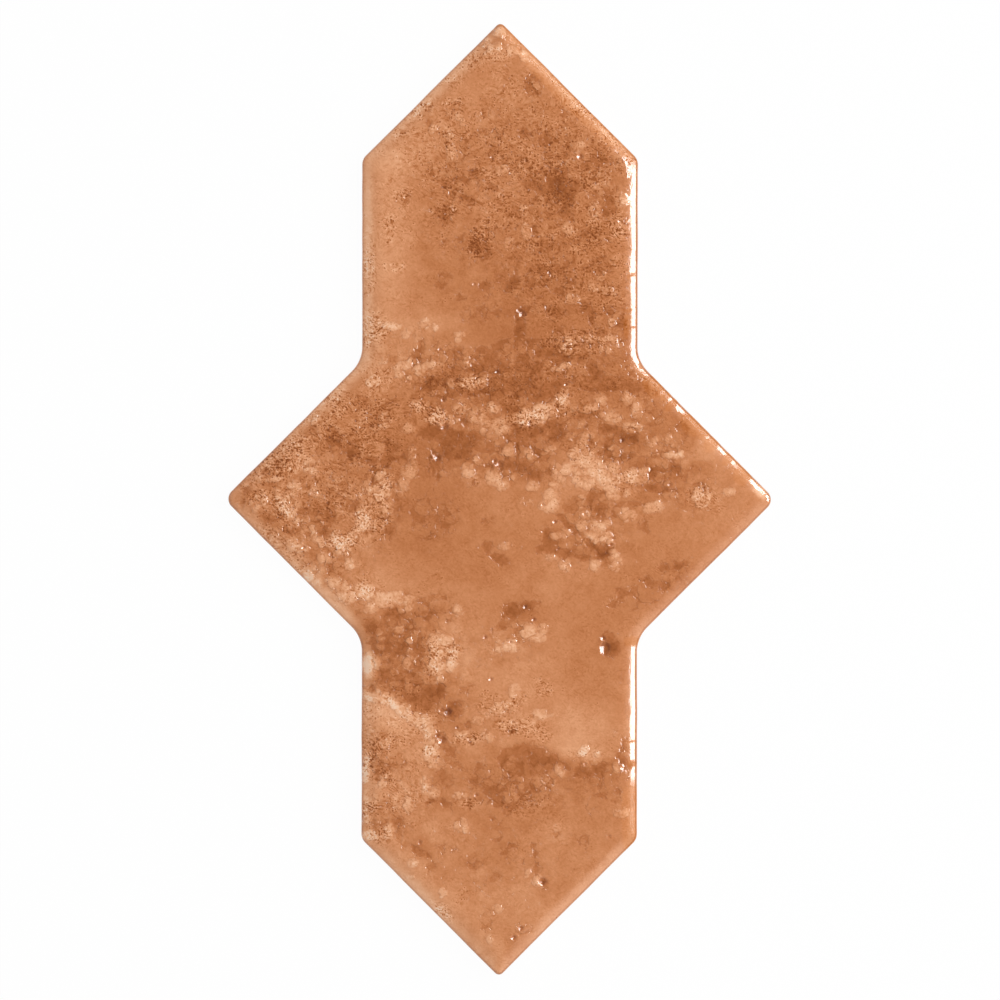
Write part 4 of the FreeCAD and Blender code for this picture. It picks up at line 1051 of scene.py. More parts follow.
@dataclass
class PressedTile:
    """The tile as a mesh before its glaze settles: the frame's back, and fine sides, cushion and face."""

    outline: Outline = field(default_factory=Outline)
    section: EdgeSection = field(default_factory=EdgeSection)
    row_spacing: float = 0.5
    joint_rows: int = 5
    arris_rows: int = 4
    crown_rows: tuple[float, ...] = (0.75, 1.1, 1.5, 1.9, 2.35)
    # The face's triangular grid, and the gap between it and the last row, as a share of its spacing
    face_spacing: float = 0.535
    face_gap: float = 0.6
    # Rings over a pit: the innermost one's spacing, how it grows by the pit's radius, how the rings
    # follow one another as a share of it, the fewest points, and how much of the reach they fill
    pit_spacing: float = 0.14
    pit_growth: float = 0.4
    pit_ring_step: float = 0.87
    pit_ring_points: int = 6
    pit_filled: float = 0.95
    # How much of the relief the row below the joint face takes
    taper_skin: float = 0.5
    # The back is what lies wholly below this height, and its edges are sharp from this angle on
    pocket_top: float = 1.0
    sharp_angle: float = 15.0
    # Sizes below which points, heights and triangles are rounding and nothing more
    frame_merge: float = 0.002
    level_within: float = 0.01
    plan_merge: float = 1e-5
    sliver_area: float = 1e-4
    points: list[tuple[float, float, float]] = field(default_factory=list)
    insets: list[float] = field(default_factory=list)
    skins: list[float] = field(default_factory=list)
    faces: list[tuple[int, ...]] = field(default_factory=list)

    def _add(self, points: list, skin: float) -> list[int]:
        """Adds points.

        Args:
            points: Tuples of a place and its inset: x, y, z, inset.
            skin: How much of the glaze's relief they take, 0 to 1.

        Returns:
            Their numbers.
        """
        first = len(self.points)
        for x, y, z, inset in points:
            self.points.append((x, y, z))
            self.insets.append(inset)
            self.skins.append(skin)
        return list(range(first, len(self.points)))

    def _row(self, inset: float, z: float, skin: float = 1.0) -> list[int]:
        """Adds one closed row of points: the outline moved in by the inset, at one height."""
        places = self.outline.loop(inset, self.row_spacing)
        return self._add([(place.x, place.y, z, inset) for place in places], skin)

    def _back(self) -> list[int]:
        """Takes the keyed back from a merged copy of the frame's own mesh.

        Returns:
            The numbers of the points round its rim, in order.
        """
        copy = bmesh.new()
        copy.from_mesh(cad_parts[NODE].data)
        bmesh.ops.remove_doubles(copy, verts=copy.verts, dist=self.frame_merge * MM)
        back = [face for face in copy.faces if all(vert.co.z < self.pocket_top * MM for vert in face.verts)]
        numbers = {}
        for face in back:
            for vert in face.verts:
                if vert not in numbers:
                    x, y, z = vert.co / MM
                    numbers[vert] = self._add([(x, y, 0.0 if z < self.level_within else z, 0.0)], 0.0)[0]
            self.faces.append(tuple(numbers[vert] for vert in face.verts))
        chosen = set(back)
        following = {}
        for face in back:
            for loop in face.loops:
                if sum(other in chosen for other in loop.edge.link_faces) == 1:
                    following[numbers[loop.vert]] = numbers[loop.link_loop_next.vert]
        rim = [next(iter(following))]
        while following[rim[-1]] != rim[0]:
            rim.append(following[rim[-1]])
        copy.free()
        return rim[::-1]

    def _span(self, loops: list[list[int]], loose: list[int], keep_middle: bool, facing_up: bool) -> None:
        """Fills the plan between closed rows of points with triangles.

        Args:
            loops: Closed rows, from the outermost in.
            loose: Points inside the last row that belong to the surface as well.
            keep_middle: Whether the plan inside the last row is filled too.
            facing_up: Whether the triangles face up.
        """
        numbers = [number for loop in loops for number in loop] + loose
        flat = [Vector(self.points[number][:2]) for number in numbers]
        edges = []
        start = 0
        for loop in loops:
            edges += [(start + step, start + (step + 1) % len(loop)) for step in range(len(loop))]
            start += len(loop)
        _, _, triangles, origins, _, _ = delaunay_2d_cdt(flat, edges, [], 0, self.plan_merge)
        plans = [[origins[corner][0] for corner in triangle] for triangle in triangles]
        centres = np.array([sum((flat[corner] for corner in plan), Vector((0, 0))) / 3 for plan in plans])
        wanted = self._inside(centres, loops[0])
        if not keep_middle:
            wanted &= ~self._inside(centres, loops[-1])
        for keep, plan in zip(wanted, plans):
            # Slivers lie outside a straight side, between points that rounding has moved off it
            if keep and area_tri(*(flat[corner] for corner in plan)) > self.sliver_area:
                corners = tuple(numbers[corner] for corner in plan)
                self.faces.append(corners if facing_up else corners[::-1])

    def _inside(self, places: np.ndarray, loop: list[int]) -> np.ndarray:
        """Tells which places are inside a row in plan, by counting the sides to their right.

        Args:
            places: Places in plan.
            loop: The closed row.

        Returns:
            True for each place inside.
        """
        polygon = np.array([self.points[number][:2] for number in loop])
        inside = np.zeros(len(places), bool)
        x, y = places[:, 0], places[:, 1]
        for (x0, y0), (x1, y1) in zip(polygon, np.roll(polygon, -1, 0)):
            if y0 == y1:
                continue
            crosses = (y0 > y) != (y1 > y)
            inside ^= crosses & (x < x0 + (y - y0) / (y1 - y0) * (x1 - x0))
        return inside

    def _face_points(self, inset: float) -> np.ndarray:
        """Places over the face: an even triangular grid, closer round each pit.

        Args:
            inset: How far in from the joint face they start.

        Returns:
            The places in plan.
        """
        half_length, half_width = self.outline.length / 2, self.outline.width / 2
        row_height = self.face_spacing * math.sqrt(3) / 2
        grid = []
        for row in range(math.ceil(2 * half_length / row_height)):
            across = np.arange(-half_width, half_width, self.face_spacing)
            across = across + (row % 2) * self.face_spacing / 2
            grid.append(np.column_stack([across, np.full(len(across), row * row_height - half_length)]))
        places = np.concatenate(grid)
        for pit in PITS:
            share = np.hypot(places[:, 0] - pit.x, (places[:, 1] - pit.y) / pit.stretch) / pit.reach
            places = places[share > 1]
        places = np.concatenate([places] + [self._pit_points(pit) for pit in PITS])
        places = places[self.outline.holds(places[:, 0], places[:, 1])]
        return places[self.outline.inset_of(places[:, 0], places[:, 1]) > inset]

    def _pit_points(self, pit: Pit) -> np.ndarray:
        """Places in rings over one pit, wider apart towards its outside.

        Args:
            pit: The pit.

        Returns:
            The places in plan.
        """
        places = [(pit.x, pit.y)]
        ring = self.pit_spacing
        while ring < pit.reach * self.pit_filled:
            gap = self.pit_spacing * (1 + ring / pit.radius * self.pit_growth)
            count = max(self.pit_ring_points, round(2 * math.pi * ring / gap))
            for step in range(count):
                angle = 2 * math.pi * (step + ring) / count
                places.append((pit.x + ring * math.cos(angle), pit.y + pit.stretch * ring * math.sin(angle)))
            ring += gap * self.pit_ring_step
        return np.array(places)

    def mesh(self) -> bpy.types.Mesh:
        """Builds the mesh, in millimetres, with its attributes.

        Returns:
            The mesh.
        """
        section = self.section
        rim = self._back()
        below = self._row(0.0, section.taper_height, self.taper_skin)
        self._span([below, rim], [], False, False)
        for row in range(1, self.joint_rows + 1):
            share = row / self.joint_rows
            above = self._row(0.0, section.taper_height + (section.joint_top - section.taper_height) * share)
            for step in range(len(below)):
                after = (step + 1) % len(below)
                self.faces.append((below[step], below[after], above[after], above[step]))
            below = above
        loops = [below]
        for inset, z in section.arris_rows(self.arris_rows):
            loops.append(self._row(inset, z))
        for inset in self.crown_rows:
            loops.append(self._row(inset, float(section.crown_height(inset))))
        places = self._face_points(self.crown_rows[-1] + self.face_gap * self.face_spacing)
        insets = self.outline.inset_of(places[:, 0], places[:, 1])
        rows = np.column_stack([places, section.crown_height(insets), insets])
        self._span(loops, self._add(rows.tolist(), 1.0), True, True)
        return self._finished_mesh()

    def _finished_mesh(self) -> bpy.types.Mesh:
        """Turns the collected points and faces into a mesh with its attributes.

        Returns:
            The mesh, with smooth faces and sharp edges on the back alone.
        """
        mesh = bpy.data.meshes.new(PIECE)
        mesh.from_pydata(self.points, [], self.faces)
        mesh.validate()
        places = np.array(self.points)
        pits = np.zeros(len(places))
        for pit in PITS:
            near = np.hypot(places[:, 0] - pit.x, places[:, 1] - pit.y) < 2 * pit.reach
            near &= places[:, 2] > self.section.joint_top
            pits[near] += pit.height(places[near, 0], places[near, 1])
        for name, values in ((INSET, self.insets), (SKIN, self.skins), (PIT, pits)):
            attribute = mesh.attributes.new(name, "FLOAT", "POINT")
            attribute.data.foreach_set("value", np.array(values, np.float32))
        mesh.shade_smooth()
        mesh.set_sharp_from_angle(angle=math.radians(self.sharp_angle))
        ends = np.zeros(2 * len(mesh.edges), np.int32)
        mesh.edges.foreach_get("vertices", ends)
        back_top = self.section.taper_height + self.level_within
        behind = (places[ends, 2] < back_top).reshape(-1, 2).all(1)
        sharp = np.zeros(len(mesh.edges), bool)
        mesh.attributes["sharp_edge"].data.foreach_get("value", sharp)
        mesh.attributes["sharp_edge"].data.foreach_set("value", sharp & behind)
        return mesh


class MarkTable:
    """All marks as loose points with attributes, which a node tree can walk through."""

    def __init__(self, marks: dict[Layer, list[Mark]]) -> None:
        """Lays the marks out.

        Args:
            marks: The marks of each layer.
        """
        self.runs: dict[Layer, tuple[int, int]] = {}
        rows: list[Mark] = []
        for layer, listed in marks.items():
            self.runs[layer] = (len(rows), len(listed))
            rows += listed
        mesh = bpy.data.meshes.new("marks")
        mesh.from_pydata([(mark.x, mark.y, 0.0) for mark in rows], [], [])
        for name in ("along", "across"):
            vectors = [part for mark in rows for part in getattr(mark, name)]
            mesh.attributes.new(name, "FLOAT_VECTOR", "POINT").data.foreach_set("vector", vectors)
        for name in ("size", "strength"):
            numbers = [getattr(mark, name) for mark in rows]
            mesh.attributes.new(name, "FLOAT", "POINT").data.foreach_set("value", numbers)
        self.object = placed("marks", mesh)

    def remove(self) -> None:
        """Takes the points out of the scene again."""
        mesh = self.object.data
        bpy.data.objects.remove(self.object)
        bpy.data.meshes.remove(mesh)


@dataclass
class MarkWalk:
    """Walks through the rows of a mark table in a Geometry Nodes tree."""

    sheet: Sheet
    table: MarkTable
    rows: NodeSocket

    def _cell(self, name: str, kind: str, row: Value) -> NodeSocket:
        """Reads one attribute of one row.

        Args:
            name: The attribute.
            kind: Its type.
            row: The row's number.

        Returns:
            Its value.
        """
        if name == "position":
            read = self.sheet.node("GeometryNodeInputPosition", {}, {})
        else:
            read = self.sheet.node("GeometryNodeInputNamedAttribute", {"data_type": kind}, {"Name": name})
        sockets = {"Geometry": self.rows, "Value": read.outputs[0], "Index": row}
        return self.sheet.node("GeometryNodeSampleIndex", {"data_type": kind}, sockets).outputs["Value"]

    def over(self, layer: Layer, at: NodeSocket, start: float,
             step: Callable[[Value, Value, Value, Value], Value]) -> Value:
        """Combines all marks of a layer.

        Args:
            layer: The layer.
            at: The place, in millimetres.
            start: The total before the first mark.
            step: Gives the new total from the old one, the distance from the mark's middle in half
                sizes, the mark's size and its strength.

        Returns:
            The total after the last mark.
        """
        sheet = self.sheet
        first, count = self.table.runs[layer]
        enter = sheet.node("GeometryNodeRepeatInput", {}, {})
        leave = sheet.node("GeometryNodeRepeatOutput", {}, {})
        enter.pair_with_output(leave)
        leave.repeat_items.clear()
        leave.repeat_items.new("FLOAT", "Total")
        enter.inputs["Iterations"].default_value = count
        enter.inputs["Total"].default_value = start
        row = Value(sheet, enter.outputs["Iteration"]) + float(first)
        away = sheet.vector("SUBTRACT", at, self._cell("position", "FLOAT_VECTOR", row))
        shares = []
        for name in ("along", "across"):
            sockets = {0: away, 1: self._cell(name, "FLOAT_VECTOR", row)}
            shares.append(sheet.value("ShaderNodeVectorMath", {"operation": "DOT_PRODUCT"}, sockets, "Value"))
        distance = (shares[0] * shares[0] + shares[1] * shares[1]) ** 0.5
        size = Value(sheet, self._cell("size", "FLOAT", row))
        strength = Value(sheet, self._cell("strength", "FLOAT", row))
        total = step(Value(sheet, enter.outputs["Total"]), distance, size, strength)
        sheet.tree.links.new(total.socket, leave.inputs["Total"])
        return Value(sheet, leave.outputs["Total"])


def read_attribute(sheet: Sheet, name: str) -> Value:
    """Reads one of the mesh's attributes in Geometry Nodes."""
    sockets = {"Name": name}
    return sheet.value("GeometryNodeInputNamedAttribute", {"data_type": "FLOAT"}, sockets, "Attribute")


def vertex_value(sheet: Sheet, name: str) -> Value:
    """Reads one of the mesh's attributes in a material."""
    return sheet.value("ShaderNodeAttribute", {"attribute_name": name}, {}, "Fac")


# How far a layer's marks are moved about, to make their outlines ragged
RAGGEDNESS = {
    Layer.POOL: Warp(4.6, 0.9),
    Layer.THIN: Warp(4.0, 0.8),
    Layer.SPECKLE: Warp(3.4, 1.3),
    Layer.MATT: Warp(1.8, 0.5),
}


@dataclass(frozen=True)
class GlazeField:
    """The rules by which the marks become ragged, clouded patterns in the glaze.

    The relief and the colour both follow them, so that what is raised is also what is pale.
    """

    coarse_warp: Warp = Warp(12.0, 1.4)
    fine_warp: Warp = Warp(3.2, 1.0)
    # From where to where a soft mark or a cover fades in, in half sizes from its middle
    tone_fade: tuple[float, float] = (1.5, 0.3)
    cover_fade: tuple[float, float] = (1.4, 0.4)
    # A shored mark is as flat as it is weak: its height is at most its strength times this, less that
    flat_share: float = 1.6
    flat_drop: float = 0.8
    far_below: float = -4.0
    large_disc: float = 3.6
    small_disc: float = 2.0
    # Where each layer of discs starts, and the size and reach of their warp, in shares of the pitch
    disc_shifts: tuple = ((40.0, -25.0, 0.0), (57.0, -14.0, 0.0))
    disc_bend: tuple[float, float] = (0.9, 0.42)
    disc_edge: tuple[float, float] = (1.15, 0.75)
    least_disc: float = 0.40
    disc_range: float = 0.34
    lowest_disc: float = 0.25
    disc_share: float = 0.6
    cluster: Noise = Noise(8.0, 5.0, 0.64, 0.5)
    tatters: Noise = Noise(4.0, 4.0, 0.66, 0.3, (13.0, 5.0, 9.0))
    flock_noise: Noise = Noise(5.0, 3.0, 0.6, 0.4)
    flock_stretch: float = 0.6
    dash_noise: Noise = Noise(0.56, 1.0, 0.55)
    dash_sweep: Warp = Warp(7.0, 3.4)
    dash_stretch: float = 0.58
    dash_lean: float = 25.0

    def ragged(self, sheet: Sheet, at: NodeSocket) -> NodeSocket:
        """The place as soft marks see it, moved about so that their outlines are ragged."""
        return self.fine_warp.moved(sheet, self.coarse_warp.moved(sheet, at))

    def tone(self, walk: MarkWalk, at: NodeSocket) -> Value:
        """Sums the soft light and dark marks.

        Args:
            walk: Walks through the marks.
            at: The ragged place.

        Returns:
            The tone, 0 where no mark is.
        """
        def add(total: Value, distance: Value, size: Value, strength: Value) -> Value:
            """Adds one mark, which fades out over its outline."""
            return total + distance.ramp(*self.tone_fade) * strength

        return walk.over(Layer.TONE, at, 0.0, add)

    def shore(self, walk: MarkWalk, layer: Layer, at: NodeSocket) -> Value:
        """Height above the shore of a layer's marks, which run together where they overlap.

        Args:
            walk: Walks through the marks.
            layer: The layer.
            at: The place.

        Returns:
            Above zero inside the marks, in millimetres or so, and below zero outside.
        """
        def join(total: Value, distance: Value, size: Value, strength: Value) -> Value:
            """Keeps the higher of the mark and what was there."""
            highest = strength * self.flat_share - self.flat_drop
            return total.at_least(((1.0 - distance) * size).at_most(highest))

        return walk.over(layer, RAGGEDNESS[layer].moved(walk.sheet, at), self.far_below, join)

    def cover(self, walk: MarkWalk, layer: Layer, at: NodeSocket) -> Value:
        """How strongly a layer's marks cover a place.

        Args:
            walk: Walks through the marks.
            layer: The layer.
            at: The ragged place.

        Returns:
            0 outside them, up to the strongest mark's strength inside.
        """
        def join(total: Value, distance: Value, size: Value, strength: Value) -> Value:
            """Keeps the stronger of the mark and what was there."""
            return total.at_least(distance.ramp(*self.cover_fade) * strength)

        return walk.over(layer, at, 0.0, join)

    def discs(self, sheet: Sheet, at: NodeSocket, pitch: float) -> Value:
        """Flat round discs of uneven height that crowd and overlap one another.

        Args:
            sheet: The tree to draw in.
            at: The place, in millimetres.
            pitch: How far apart they are.

        Returns:
            Their height, 0 in the seams and up to 1 on the highest disc.
        """
        highest = 0.0
        bend = Warp(*(share * pitch for share in self.disc_bend))
        for shift in self.disc_shifts:
            moved = sheet.vector("ADD", at, tuple(part * pitch for part in shift))
            flat = sheet.vector("MULTIPLY", bend.moved(sheet, moved), IN_PLAN)
            cells = sheet.node("ShaderNodeTexVoronoi", {"voronoi_dimensions": "2D"},
                               {"Vector": flat, "Scale": 1 / pitch})
            first, second, _ = sheet.parts(cells.outputs["Color"])
            radius = self.least_disc + second * self.disc_range
            disc = (Value(sheet, cells.outputs["Distance"]) / radius).ramp(*self.disc_edge)
            height = self.lowest_disc + first * (1.0 - self.lowest_disc)
            highest = (disc * height).at_least(highest)
        return highest

    def patches(self, sheet: Sheet, at: NodeSocket, mesh_value: Callable[[Sheet, str], Value]
                ) -> tuple[Value, Value, Value]:
        """Scallops the shores of thin and pooled glaze with discs.

        Args:
            sheet: The tree to draw in.
            at: The place, in millimetres.
            mesh_value: Reads one of the mesh's attributes in this kind of tree.

        Returns:
            Heights above the shores of the thin and of the pooled glaze, and the discs themselves,
            round zero.
        """
        both = self.discs(sheet, at, self.large_disc) + self.discs(sheet, at, self.small_disc)
        puffs = (both - 1.0) * self.disc_share
        cluster = self.cluster.over(sheet, at)
        tatters = self.tatters.over(sheet, at)
        marked = mesh_value(sheet, THIN) * 0.9 + 0.1 + puffs * 1.2 + tatters * 0.4
        scattered = (mesh_value(sheet, BLOOM) * 1.7 - 2.3 + puffs + cluster * 1.1).at_most(0.4)
        pool = mesh_value(sheet, POOL) * 0.85 + 0.15 - puffs * 1.5 + tatters * 0.6
        return marked.at_least(scattered), pool, puffs

    def flocks(self, sheet: Sheet, at: NodeSocket) -> Value:
        """Ragged streaks in which the dashes and pinholes gather, as noise of about -1 to 1."""
        return self.flock_noise.over(sheet, sheet.turned(at, -self.dash_lean, self.flock_stretch))

    def dashes(self, sheet: Sheet, at: NodeSocket) -> Value:
        """Short wavy dashes that lean the same way as their neighbours, as noise of about -1 to 1."""
        swept = self.dash_sweep.moved(sheet, at)
        return self.dash_noise.over(sheet, sheet.turned(swept, self.dash_lean, self.dash_stretch))


@dataclass
class SettledGlaze:
    """Geometry Nodes that settle the glaze: they move the skin and keep what the finish reads."""

    pattern: GlazeField = field(default_factory=GlazeField)
    sizes: dict[str, float] = field(default_factory=lambda: {
        "Sink": 0.17,
        "Sag": 0.10,
        "Swell": 0.05,
        "Ripple": 0.02,
        "Pool Depth": 0.06,
        "Bloom Rise": 0.07,
        "Edge Wander": 0.12,
    })
    melt_steps: int = 14
    seed: int = 41
    seed_stride: float = 37.0
    sag: Noise = Noise(44.0, 1.0)
    swell: Noise = Noise(13.0)
    ripple: Noise = Noise(3.6, 2.0, 0.6)
    wander: Noise = Noise(21.0, 3.0, 0.55)
    bloom_drift: Noise = Noise(9.0)
    bloom_drift_share: float = 0.12
    # From which inset on the cushion's creases melt, and up to which one the edge wanders
    melt_insets: tuple[float, float] = (0.9, 2.2)
    wander_insets: tuple[float, float] = (4.5, 0.0)
    # The relief is shallow over the joint face and full on the cushion
    full_relief_insets: tuple[float, float] = (0.0, 2.5)
    joint_relief: float = 0.25
    tone_relief: float = 0.3
    # How far the glaze stays below the solid's skin, and the highest lip below the solid's top
    least_sink: float = 0.03
    top_clearance: float = 0.005

    def _inputs(self, tree: bpy.types.GeometryNodeTree) -> dict[str, str]:
        """Names the tree's inputs.

        Args:
            tree: The tree.

        Returns:
            The identifier of each input, by name.
        """
        kinds = {name: "NodeSocketFloat" for name in list(self.sizes) + ["Seed"]}
        kinds["Melt Steps"] = "NodeSocketInt"
        kinds["Marks"] = "NodeSocketObject"
        kinds["Finish"] = "NodeSocketMaterial"
        tree.interface.new_socket("Geometry", in_out="INPUT", socket_type="NodeSocketGeometry")
        found = {}
        for name, kind in kinds.items():
            found[name] = tree.interface.new_socket(name, in_out="INPUT", socket_type=kind).identifier
        tree.interface.new_socket("Geometry", in_out="OUTPUT", socket_type="NodeSocketGeometry")
        return found

    def _tree(self, table: MarkTable) -> tuple[bpy.types.GeometryNodeTree, dict[str, str]]:
        """Draws up the tree.

        Args:
            table: The marks that it walks through.

        Returns:
            The tree, and the identifiers of its inputs.
        """
        tree = bpy.data.node_groups.new("settled_glaze", "GeometryNodeTree")
        identifiers = self._inputs(tree)
        sheet = Sheet(tree)
        given = sheet.node("NodeGroupInput", {}, {})
        marked = self._marked(sheet, given, table)
        melted = self._melted(sheet, given, marked)
        shaped = self._shaped(sheet, given, melted)
        scaled = sheet.geometry("GeometryNodeTransform", {}, {"Geometry": shaped, "Scale": (MM, MM, MM)})
        real = sheet.geometry("GeometryNodeRealizeInstances", {}, {"Geometry": scaled})
        dressed = sheet.geometry("GeometryNodeSetMaterial", {},
                                 {"Geometry": real, "Material": given.outputs["Finish"]})
        sheet.node("NodeGroupOutput", {}, {"Geometry": dressed})
        return tree, identifiers

    def _marked(self, sheet: Sheet, given: Node, table: MarkTable) -> NodeSocket:
        """Writes the patterns onto the mesh.

        Args:
            sheet: The tree.
            given: The tree's inputs.
            table: The marks.

        Returns:
            The mesh with the patterns as attributes.
        """
        rows = sheet.geometry("GeometryNodeObjectInfo", {}, {"Object": given.outputs["Marks"]})
        walk = MarkWalk(sheet, table, rows)
        position = sheet.node("GeometryNodeInputPosition", {}, {}).outputs["Position"]
        level = sheet.vector("MULTIPLY", position, IN_PLAN)
        place = self.pattern.ragged(sheet, level)
        bloom = self.pattern.cover(walk, Layer.BLOOM, place)
        kept = {
            TONE: self.pattern.tone(walk, place),
            POOL: self.pattern.shore(walk, Layer.POOL, level),
            THIN: self.pattern.shore(walk, Layer.THIN, level),
            BLOOM: bloom + self.bloom_drift.over(sheet, level) * self.bloom_drift_share,
        }
        for name, layer in ((SPECKLE, Layer.SPECKLE), (MATT, Layer.MATT)):
            kept[name] = self.pattern.cover(walk, layer, RAGGEDNESS[layer].moved(sheet, level))
        marked = given.outputs["Geometry"]
        for name, value in kept.items():
            settings = {"data_type": "FLOAT", "domain": "POINT"}
            sockets = {"Geometry": marked, "Name": name, "Value": value}
            marked = sheet.geometry("GeometryNodeStoreNamedAttribute", settings, sockets)
        return marked

    def _melted(self, sheet: Sheet, given: Node, mesh: NodeSocket) -> NodeSocket:
        """Rounds the creases that the cushion makes at the corners, as melting glaze does.

        Args:
            sheet: The tree.
            given: The tree's inputs.
            mesh: The mesh.

        Returns:
            The rounded mesh.
        """
        position = sheet.node("GeometryNodeInputPosition", {}, {}).outputs["Position"]
        weight = read_attribute(sheet, INSET).ramp(*self.melt_insets)
        sockets = {"Value": position, "Iterations": given.outputs["Melt Steps"], "Weight": weight}
        blurred = sheet.node("GeometryNodeBlurAttribute", {"data_type": "FLOAT_VECTOR"}, sockets)
        sockets = {"Geometry": mesh, "Position": blurred.outputs["Value"]}
        return sheet.geometry("GeometryNodeSetPosition", {}, sockets)

    def _relief(self, sheet: Sheet, size: dict[str, Value], moved: NodeSocket, position: NodeSocket) -> Value:
        """How far the skin moves along its normal, before the pits.

        Args:
            sheet: The tree.
            size: The tree's sizes.
            moved: The place that the noise sees.
            position: The place.

        Returns:
            The height, below zero everywhere.
        """
        height = self.sag.over(sheet, moved) * size["Sag"]
        height = height + self.swell.over(sheet, moved) * size["Swell"]
        height = height + self.ripple.over(sheet, moved) * size["Ripple"]
        level = sheet.vector("MULTIPLY", position, IN_PLAN)
        thin, pool, _ = self.pattern.patches(sheet, level, read_attribute)
        height = height + thin.ramp(-0.4, 1.6) * size["Bloom Rise"]
        height = height - pool.ramp(-0.8, 1.2) * size["Pool Depth"]
        height = height + read_attribute(sheet, TONE) * self.tone_relief * size["Pool Depth"]
        return (height - size["Sink"]).at_most(-self.least_sink)

    def _shaped(self, sheet: Sheet, given: Node, mesh: NodeSocket) -> NodeSocket:
        """Gives the skin its relief. It stays in the solid's box, with the pits' lips.

        Args:
            sheet: The tree.
            given: The tree's inputs.
            mesh: The mesh.

        Returns:
            The mesh with its relief.
        """
        size = {name: Value(sheet, given.outputs[name]) for name in self.sizes}
        position = sheet.node("GeometryNodeInputPosition", {}, {}).outputs["Position"]
        drift = {"Z": Value(sheet, given.outputs["Seed"]) * self.seed_stride}
        moved = sheet.vector("ADD", position, sheet.node("ShaderNodeCombineXYZ", {}, drift).outputs["Vector"])
        inset = read_attribute(sheet, INSET)
        skin = read_attribute(sheet, SKIN)

        share = inset.ramp(*self.full_relief_insets) * (1.0 - self.joint_relief) + self.joint_relief
        height = self._relief(sheet, size, moved, position) * share * skin + read_attribute(sheet, PIT)
        highest = EdgeSection().thickness - self.top_clearance - sheet.parts(position)[2]
        height = height.at_most(highest)

        normal = sheet.node("GeometryNodeInputNormal", {}, {}).outputs["Normal"]
        outward = sheet.vector("NORMALIZE", sheet.vector("MULTIPLY", normal, IN_PLAN))
        wander = self.wander.over(sheet, sheet.vector("MULTIPLY", moved, IN_PLAN))
        wander = (wander - 0.8).at_most(-0.1) * size["Edge Wander"] * inset.ramp(*self.wander_insets) * skin
        sideways = sheet.vector("SCALE", outward, wander)
        offset = sheet.vector("ADD", sheet.vector("SCALE", normal, height), sideways)
        return sheet.geometry("GeometryNodeSetPosition", {}, {"Geometry": mesh, "Offset": offset})

    def settle(self, mesh: bpy.types.Mesh, finish: bpy.types.Material) -> bpy.types.Object:
        """Runs the glaze over a pressed tile.

        Args:
            mesh: The pressed tile, in millimetres.
            finish: The material that the tile gets.

        Returns:
            The finished piece, a plain mesh in metres.
        """
        table = MarkTable(MARKS)
        tree, identifiers = self._tree(table)
        piece = placed(PIECE, mesh)
        modifier = piece.modifiers.new("settled_glaze", "NODES")
        modifier.node_group = tree
        given = self.sizes | {"Seed": float(self.seed), "Melt Steps": self.melt_steps,
                              "Marks": table.object, "Finish": finish}
        for name, value in given.items():
            modifier[identifiers[name]] = value
        graph = bpy.context.evaluated_depsgraph_get()
        result = bpy.data.meshes.new_from_object(piece.evaluated_get(graph))
        piece.modifiers.remove(modifier)
        piece.data = result
        result.name = PIECE
        bpy.data.meshes.remove(mesh)
        table.remove()
        return piece


@dataclass(frozen=True)
class Pinholes:
    """Pinholes with a pale halo, one in each cell of a grid that the glaze's marks thin out."""

    pitch: float = 0.72
    bend: Warp = Warp(0.7, 0.16)
    least_radius: float = 0.18
    radius_range: float = 0.20

    def drawn(self, sheet: Sheet, at: NodeSocket, cover: Value) -> tuple[Value, Value]:
        """Draws them.

        Args:
            sheet: The tree to draw in.
            at: The place, in millimetres.
            cover: How many of the cells have one, 0 to 1 and above.

        Returns:
            How much of a hole and how much of a halo there is.
        """
        sockets = {"Vector": self.bend.moved(sheet, at), "Scale": 1 / self.pitch}
        cells = sheet.node("ShaderNodeTexVoronoi", {"voronoi_dimensions": "2D"}, sockets)
        first, second, _ = sheet.parts(cells.outputs["Color"])
        present = (cover * 0.9 - first).ramp(0.0, 0.25)
        share = Value(sheet, cells.outputs["Distance"]) / (self.least_radius + second * self.radius_range)
        halo = share.ramp(2.8, 1.5) * share.ramp(1.0, 1.5)
        return share.ramp(1.1, 0.35) * present, halo * present


